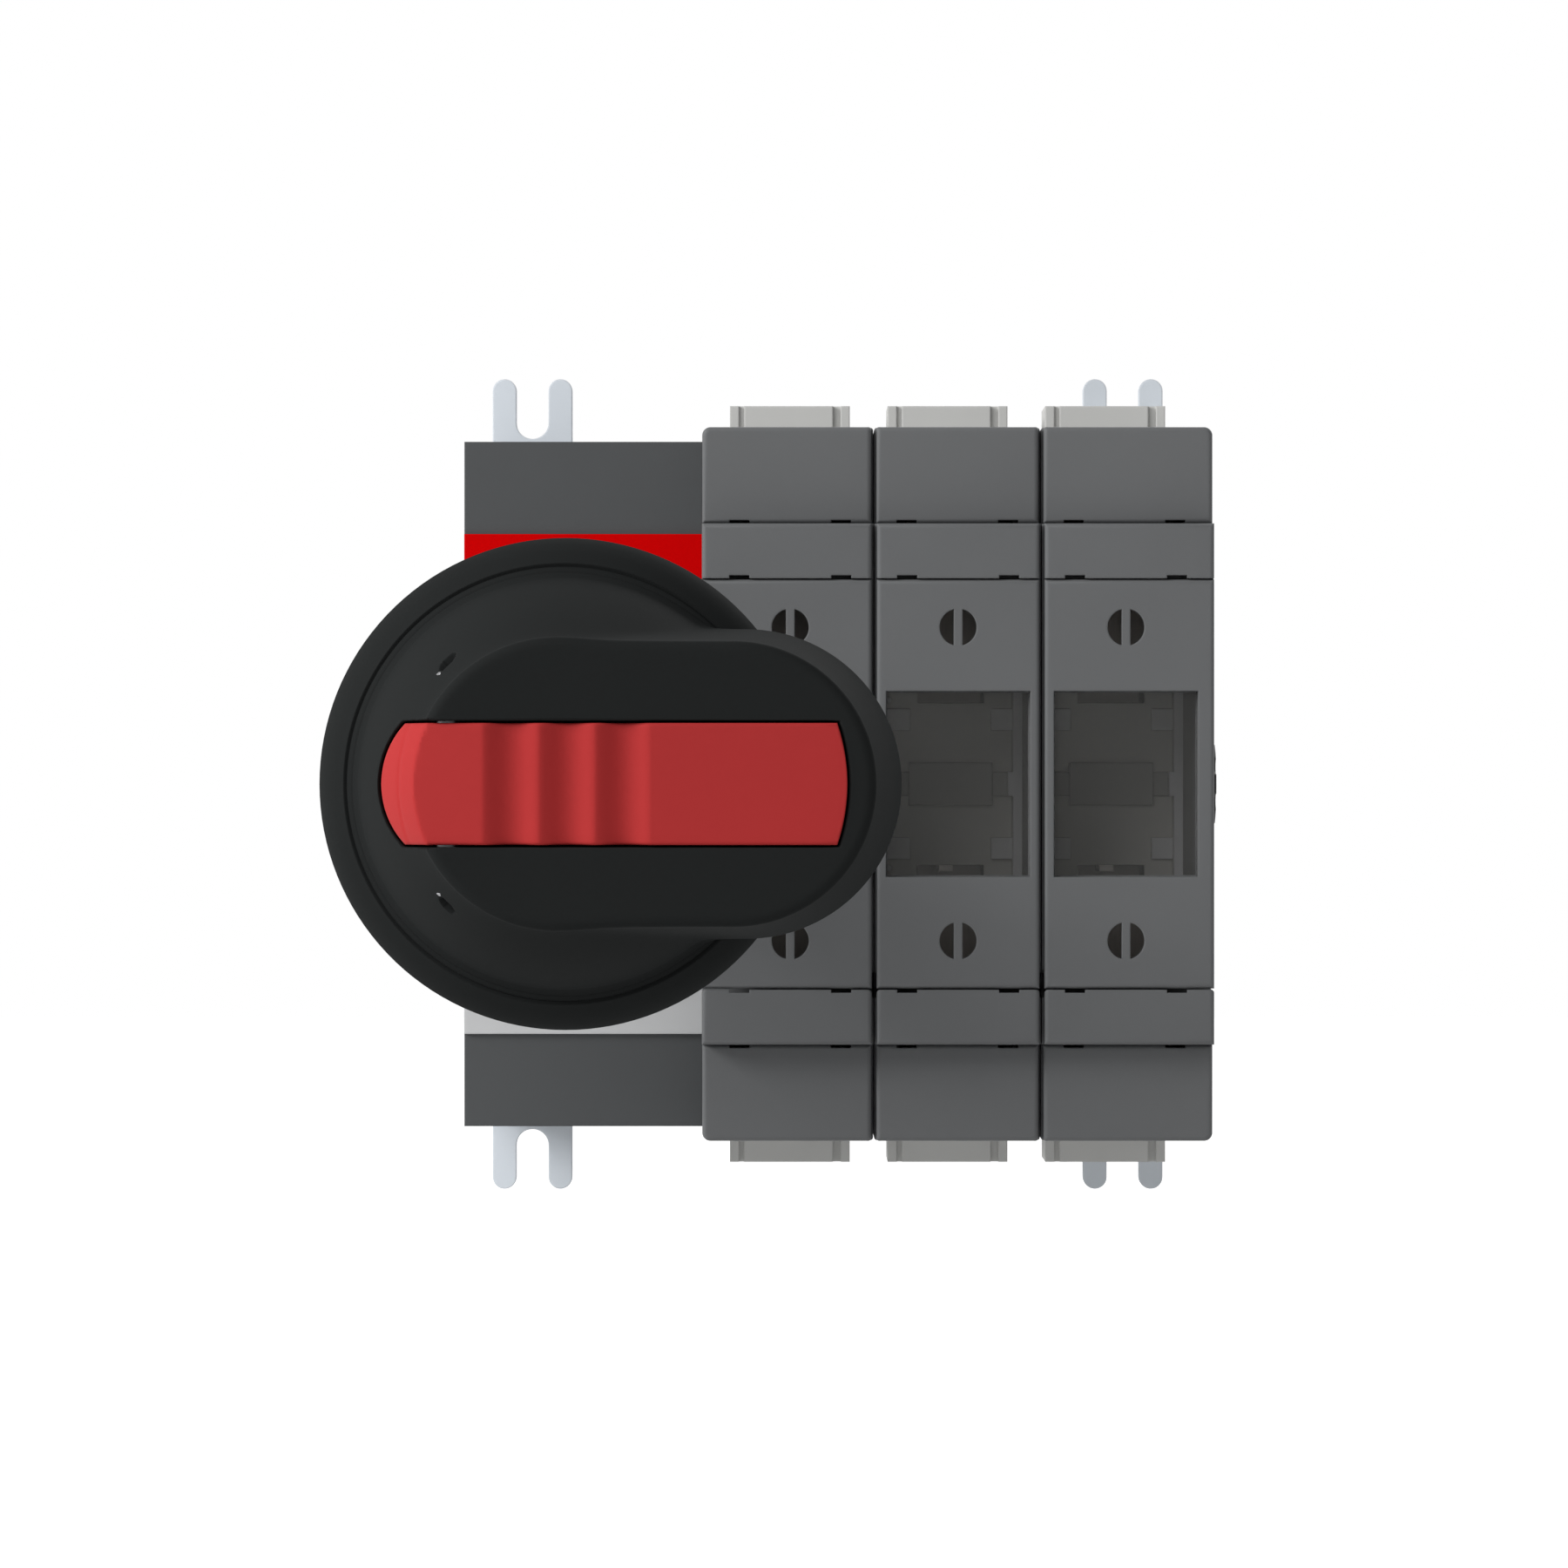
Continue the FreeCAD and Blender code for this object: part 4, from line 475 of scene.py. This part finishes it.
# The coupling cap: a black disc on the end of the cross shaft, just proud of the right flank,
# with round notches in its outer half for an add-on block to grip.
def skin(name, rings, node, material, sharp=32):
    """A closed skin over rings of points: each point joins its neighbour along the ring and
    the same point of the next ring. The first and the last ring have shrunk to nothing."""
    count, around = rings.shape[:2]
    own = np.arange(count * around).reshape(count, around)
    beside = np.roll(own, -1, axis=1)
    faces = np.stack([own[:-1], beside[:-1], beside[1:], own[1:]], axis=-1).reshape(-1, 4)
    mesh = bpy.data.meshes.new(name)
    mesh.from_pydata(rings.reshape(-1, 3).tolist(), [], faces.tolist())
    soup = bmesh.new()
    soup.from_mesh(mesh)
    bmesh.ops.remove_doubles(soup, verts=soup.verts, dist=WELD)
    bmesh.ops.dissolve_degenerate(soup, edges=soup.edges, dist=WELD)
    bmesh.ops.recalc_face_normals(soup, faces=soup.faces)
    soup.to_mesh(mesh)
    soup.free()
    shade_round(mesh, material, sharp)
    piece = bpy.data.objects.new(name, mesh)
    piece.modifiers.new("even_faces", "WEIGHTED_NORMAL").keep_sharp = True
    stand_for(piece, node)
    return piece


NOTCHES = 8
NOTCH_RADIUS = 1.3 * MM
CAP_EDGE = 0.25 * MM

cap_low, cap_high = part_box("side_cap")
shaft_y = (cap_low.y + cap_high.y) / 2
cap_radius = (cap_high.z - cap_low.z) / 2
cap_turn = np.linspace(0, 2 * np.pi, 384, endpoint=False)


def cap_ring(radius, x):
    """One turn about the cross shaft: cosine and sine of the angle times the radius."""
    return np.stack(np.broadcast_arrays(x, shaft_y - radius * np.cos(cap_turn),
                                        radius * np.sin(cap_turn)), axis=-1)


# A notch is a circle centred on the rim. From the rim it leaves the disc only as far as its
# near side: radius times the cosine, less the root of what the sine leaves of the notch.
pitch = 2 * np.pi / NOTCHES
off = (cap_turn % pitch) - pitch / 2
inside = np.clip(NOTCH_RADIUS ** 2 - (cap_radius * np.sin(off)) ** 2, 0, None)
notched = np.where(inside > 0, cap_radius * np.cos(off) - np.sqrt(inside), cap_radius)
cap_middle = (cap_low.x + cap_high.x) / 2
skin("coupling_cap", np.stack([
    cap_ring(0, cap_low.x), cap_ring(cap_radius, cap_low.x), cap_ring(cap_radius, cap_middle),
    cap_ring(notched, cap_middle), cap_ring(notched, cap_high.x - CAP_EDGE),
    cap_ring(notched - CAP_EDGE, cap_high.x), cap_ring(cap_radius / 2, cap_high.x),
    cap_ring(cap_radius / 2 - CAP_EDGE, cap_high.x - 2 * CAP_EDGE),
    cap_ring(0, cap_high.x - 2 * CAP_EDGE)]), "side_cap", nylon_black)

# The door handle's fixed parts: a black ring screwed to the door from behind, a rubber seal
# in its back, and the steel square shaft that reaches back to the mechanism.
handle_black = moulded_plastic("handle_black", (0.0128, 0.0138, 0.0138), roughness=0.7, gloss=0.02,
                               relief=0.006 * MM, corner_strength=0.25)
rounded(handle_black, "handle_flange", sharp=50)
seal_rubber = moulded_plastic("seal_rubber", (0.02, 0.02, 0.02), roughness=0.8, gloss=0.05)
rounded(seal_rubber, "flange_gasket")
finish(zinc_steel, "handle_shaft")
rounded(zinc_steel, "retaining_ring", "set_screw")

# The grip: one black moulding, a round dome that runs out into a bar with a round tip. Its hub
# passes through the fixed ring, takes the square shaft, and is held by a snap ring. A long
# well in the front holds the padlock lever.
DOME_CROWN = 18.7 * MM
DOME_FOOT = 27.6 * MM
DOME_POWER = 1.4
FOOT_HEIGHT = 6.7 * MM
FOOT_FLARE = 1.4 * MM
FLARE_RISE = 2 * MM
TOP_DROP = 1.1 * MM
TOP_INSET = 1.4 * MM
BAR_START = 7.2 * MM
BAR_FOOT_HALF = 20.6 * MM
BAR_TOP_HALF = 18.5 * MM
BAR_TOP_TIP = 41.3 * MM
BLEND = 0.9 * MM
HUB_RADIUS = 11 * MM
HUB_END = 2.95 * MM
HUB_CHAMFER = 0.4 * MM
SCREW_FROM_REAR = 3 * MM
SCREW_SUNK = 0.8 * MM
GROOVE_LOW = 0.3 * MM
GROOVE_HIGH = 1.34 * MM
GROOVE_SUNK = 1 * MM
SQUARE_HALF = 3.05 * MM
BORE_END = 10.35 * MM
LEVER_GAP = 0.3 * MM
MOUTH_CHAMFER = 0.25 * MM
WELL_DEPTH = 9.3 * MM
PIT_DEPTH = 18.6 * MM
PIT_END = 9.4 * MM
PIN_X = 14.6 * MM
PIN_SUNK = 6.5 * MM
PIN_RADIUS = 1 * MM
PIN_HALF = 14.7 * MM
CORNER_STEP = 0.3 * MM
CROWN_STEP = 0.5 * MM
PLAIN_BELOW = 8.9 * MM
CLOSE_FROM = 8.6 * MM
CLOSE_TO = 4.4 * MM
PLAIN_ABOVE = 4 * MM

flange_low, flange_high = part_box("handle_flange")
grip_low, grip_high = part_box("handle_grip")
lever_low, lever_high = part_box("padlock_lever")
axis_x = (flange_low.x + flange_high.x) / 2
door = flange_high.y
top = door - grip_low.y
dome_radius = axis_x - grip_low.x
bar_tip = grip_high.x - axis_x
turn = np.linspace(0, 2 * np.pi, 600, endpoint=False)
across = np.abs(np.sin(turn))
along = np.cos(turn)


def grip_ring(radius, height):
    """One turn about the handle's axis: the radius times cosine and sine of the angle, at a
    height above the door."""
    return np.stack(np.broadcast_arrays(axis_x + radius * np.cos(turn), door - height,
                                        radius * np.sin(turn)), axis=-1)


def oblong(half_width, left, left_arc, right, right_arc):
    """How far the rim of a bar with parallel sides and an arc at each end lies at every angle:
    the half width over the sine along the sides, and where a ray meets the arc at the ends."""
    arc = np.where(along < 0, left_arc, right_arc)
    centre = np.where(along < 0, left, right) - arc
    corner = centre + np.sqrt(np.clip(arc ** 2 - half_width ** 2, 0, None))
    end = centre * np.abs(along) + np.sqrt(np.clip(arc ** 2 - (centre * across) ** 2, 0, None))
    side = half_width / np.maximum(across, 1e-6)
    return np.where(np.abs(along) * half_width > corner * across, end, side)


def smooth_larger(one, other):
    """The larger of two radii, with a fillet where they are alike: half their sum and half
    the root of their difference squared and the blend squared."""
    return (one + other + np.hypot(one - other, BLEND)) / 2


# The dome narrows from its foot to its crown by a power of the height a little over one, so its
# flank is nearly straight. A parabola flares its foot, and a quarter ellipse rounds its top edge.
# Its rings lie closer together around the pin's holes, which are told by depths below its top.
rise = np.concatenate([np.linspace(FOOT_HEIGHT, BAR_START, 5)[:-1],
                       np.linspace(BAR_START + CORNER_STEP / 2, FOOT_HEIGHT + FLARE_RISE, 6),
                       np.linspace(FOOT_HEIGHT + FLARE_RISE + CORNER_STEP, top - PLAIN_BELOW, 18),
                       np.linspace(top - CLOSE_FROM, top - CLOSE_TO, 24),
                       np.linspace(top - PLAIN_ABOVE, top - TOP_DROP, 8)])
share = (rise - FOOT_HEIGHT) / (top - TOP_DROP - FOOT_HEIGHT)
flare = FOOT_FLARE * np.clip(1 - (rise - FOOT_HEIGHT) / FLARE_RISE, 0, 1) ** 2
fall = DOME_FOOT + (DOME_CROWN - DOME_FOOT) * share ** DOME_POWER + flare
bend = np.linspace(0, np.pi / 2, 9)[1:]
dome_height = np.concatenate([rise, top - TOP_DROP + TOP_DROP * np.sin(bend)])
inset = np.concatenate([np.zeros(rise.size), TOP_INSET * (1 - np.cos(bend))])
dome_profile = np.concatenate([fall, np.full(bend.size, fall[-1])]) - inset

# The well's mouth. On the left it runs down over the dome, so its rim follows the dome there.
lever_half = (lever_high.z - lever_low.z) / 2
LEVER_LEFT_ARC = 10.9 * MM
LEVER_RIGHT_ARC = 24.6 * MM
lever_left = axis_x - lever_low.x
lever_right = lever_high.x - axis_x
well = oblong(lever_half + LEVER_GAP, lever_left + LEVER_GAP, LEVER_LEFT_ARC + LEVER_GAP,
              lever_right + LEVER_GAP, LEVER_RIGHT_ARC + LEVER_GAP)
mouth = well + MOUTH_CHAMFER
over_dome = np.where(along < 0, np.interp(mouth, dome_profile[::-1], dome_height[::-1]), top)

rings = [grip_ring(0, BORE_END)]
square = SQUARE_HALF / np.maximum(across, np.abs(along))
hub_rear = door - grip_high.y
rings += [grip_ring(square, BORE_END), grip_ring(square, hub_rear),
          grip_ring(HUB_RADIUS - HUB_CHAMFER, hub_rear)]
screw_height = hub_rear + SCREW_FROM_REAR
for height in np.linspace(hub_rear + HUB_CHAMFER, GROOVE_LOW, 28):
    far = np.hypot(HUB_RADIUS * np.angle(np.exp(1j * turn)), height - screw_height)
    rings.append(grip_ring(np.where(far < PIN_RADIUS, HUB_RADIUS - SCREW_SUNK, HUB_RADIUS), height))
groove_radius = HUB_RADIUS - GROOVE_SUNK
rings += [grip_ring(groove_radius, GROOVE_LOW), grip_ring(groove_radius, GROOVE_HIGH),
          grip_ring(HUB_RADIUS, GROOVE_HIGH), grip_ring(HUB_RADIUS, HUB_END),
          grip_ring(dome_radius - CORNER_STEP, HUB_END),
          grip_ring(dome_radius, HUB_END + CORNER_STEP),
          grip_ring(dome_radius, FOOT_HEIGHT - CORNER_STEP)]
for level, (height, dome) in enumerate(zip(dome_height, dome_profile)):
    outline = np.full(turn.shape, dome)
    if height > BAR_START:
        share = (height - BAR_START) / (top - TOP_DROP - BAR_START)
        half = BAR_FOOT_HALF + (BAR_TOP_HALF - BAR_FOOT_HALF) * min(share, 1) - inset[level]
        tip = bar_tip + (BAR_TOP_TIP - bar_tip) * min(share, 1) - inset[level]
        bar = np.where(along > 0, oblong(half, half, half, tip, half), half)
        outline = smooth_larger(dome, bar)
        if dome_height[level - 1] < BAR_START:
            rings += [grip_ring(dome, BAR_START), grip_ring(outline - CORNER_STEP, BAR_START)]
    far = np.hypot(outline * along + PIN_X, height - (top - PIN_SUNK))
    pin_hole = np.minimum(outline, PIN_HALF / np.maximum(across, 1e-6))
    outline = np.where(far < PIN_RADIUS, pin_hole, outline)
    rings.append(grip_ring(np.maximum(outline, mouth),
                           np.where(outline < mouth, over_dome, height)))
rings.append(grip_ring(np.maximum(outline - CROWN_STEP, mouth),
                       np.where(outline - CROWN_STEP < mouth, over_dome, top)))
over_pit = (along < 0) & (PIT_END / np.maximum(-along, 1e-6) < well)
pit_rim = np.where(over_pit, PIT_END / np.maximum(-along, 1e-6), well)
well_floor = np.where(over_pit, top - PIT_DEPTH, top - WELL_DEPTH)
rings += [grip_ring(mouth, over_dome), grip_ring(well, over_dome - MOUTH_CHAMFER),
          grip_ring(well, well_floor), grip_ring(pit_rim, well_floor),
          grip_ring(pit_rim, top - WELL_DEPTH), grip_ring(0, top - WELL_DEPTH)]
skin("grip", np.stack(rings), "handle_grip", handle_black)

# The padlock lever: a red bar that fills the well and rocks on a steel pin. Its left end follows
# the dome, and three thumb hollows help to press it. Its heel drops into the pit beside the pin.
HEEL_STEP = 13 * MM
HEEL_THICK = 15 * MM
LEVER_THICK = 9 * MM
PROUD = 0.2 * MM
HOLLOWS = 3
HOLLOW_START = -9.7 * MM
HOLLOW_PITCH = 7.28 * MM
HOLLOW_DEPTH = 1.2 * MM
HOLLOW_POWER = 0.8
LEFT_TILT = 0.13
EDGE = 0.45 * MM
LINE_RADIUS = 20.9 * MM
LINE_WIDTH = 0.16 * MM
LINE_DEPTH = 0.3 * MM

lever_red = moulded_plastic("lever_red", (0.335, 0.027, 0.027), roughness=0.55, gloss=0.03,
                            relief=0.004 * MM, corner_strength=0.12)
left_centre, right_centre = LEVER_LEFT_ARC - lever_left, lever_right - LEVER_RIGHT_ARC
left_bend = np.linspace(0, np.arcsin(lever_half / LEVER_LEFT_ARC), 40)
right_bend = np.linspace(np.arcsin(lever_half / LEVER_RIGHT_ARC), 0, 14)
left_end = left_centre - LEVER_LEFT_ARC * np.cos(left_bend)
right_end = right_centre + LEVER_RIGHT_ARC * np.cos(right_bend)
hollow_end = HOLLOW_START + HOLLOWS * HOLLOW_PITCH
heel = np.linspace(left_end[-1], -HEEL_STEP, 30)[1:]
middle = np.concatenate([
    heel, np.linspace(-HEEL_STEP, HOLLOW_START, 10),
    np.linspace(HOLLOW_START, hollow_end, 121)[1:], np.linspace(hollow_end, right_end[0], 14)[1:-1]])
station = np.concatenate([left_end, middle, right_end])[:, None]
half = np.concatenate([LEVER_LEFT_ARC * np.sin(left_bend), np.full(middle.size, lever_half),
                       LEVER_RIGHT_ARC * np.sin(right_bend)])[:, None]

# The face: flat, less three hollows that follow a cosine raised to a power under one. Left of
# them it tilts a little and then follows the dome, a shallow line runs round the left end, and
# the rim is rounded.
bend = np.linspace(0, np.pi / 2, 6)
rim = EDGE * (1 - np.cos(bend))
inner = half - np.minimum(EDGE, half)
z = np.concatenate([half - np.minimum(rim, half), inner * np.linspace(1, -1, 23)[1:-1],
                    np.minimum(rim[::-1], half) - half], axis=1)
wave = np.clip((station - HOLLOW_START) / HOLLOW_PITCH, 0, HOLLOWS)
sunk = HOLLOW_DEPTH * ((1 - np.cos(2 * np.pi * wave)) / 2) ** HOLLOW_POWER
tilt = LEFT_TILT * np.clip(HOLLOW_START - station, 0, None)
face = np.broadcast_to(top + PROUD - sunk - tilt, z.shape)
from_axis = np.hypot(station, z)
dome = np.interp(from_axis, dome_profile[::-1], dome_height[::-1]) + PROUD
face = np.where(station < 0, np.minimum(face, dome), face)
line = LINE_DEPTH * np.exp(-((from_axis - LINE_RADIUS) / LINE_WIDTH) ** 2)
face = face - line * (station < 0)
near = np.clip(EDGE - (half - np.abs(z)), 0, EDGE)
face = face - EDGE + np.sqrt(EDGE ** 2 - near ** 2)
under = np.full((station.size, 1), top - LEVER_THICK)
under[:left_end.size + heel.size] = top - HEEL_THICK
rings = np.concatenate([
    np.stack(np.broadcast_arrays(axis_x + station, door - face, z), axis=-1),
    np.stack(np.broadcast_arrays(axis_x + station, door - under, -half), axis=-1),
    np.stack(np.broadcast_arrays(axis_x + station, door - under, half), axis=-1)], axis=1)
skin("padlock_bar", rings, "padlock_lever", lever_red)

# The lever's pin: turned from dark blued steel, with a chamfer at either end. Its ends lie just
# below the dome's surface.
PIN_CHAMFER = 0.3 * MM
PIN_SHANK = 1.45 * MM
PIN_END_GAP = 0.1 * MM

pin_turn = np.linspace(0, 2 * np.pi, 48, endpoint=False)
pin_end = PIN_HALF - PIN_END_GAP
pin_radius = np.array([0, PIN_SHANK - PIN_CHAMFER, PIN_SHANK])
pin_radius = np.concatenate([pin_radius, pin_radius[::-1]])[:, None]
pin_z = np.array([-pin_end, -pin_end, PIN_CHAMFER - pin_end])
pin_z = np.concatenate([pin_z, -pin_z[::-1]])[:, None]
skin("blued_pin", np.stack(np.broadcast_arrays(
    axis_x - PIN_X + pin_radius * np.cos(pin_turn),
    door - top + PIN_SUNK + pin_radius * np.sin(pin_turn), pin_z), axis=-1),
    "lever_pin", worked_metal("blued_steel", (0.3, 0.3, 0.31), roughness=0.3))

# The object's box after dressing.
low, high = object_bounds()
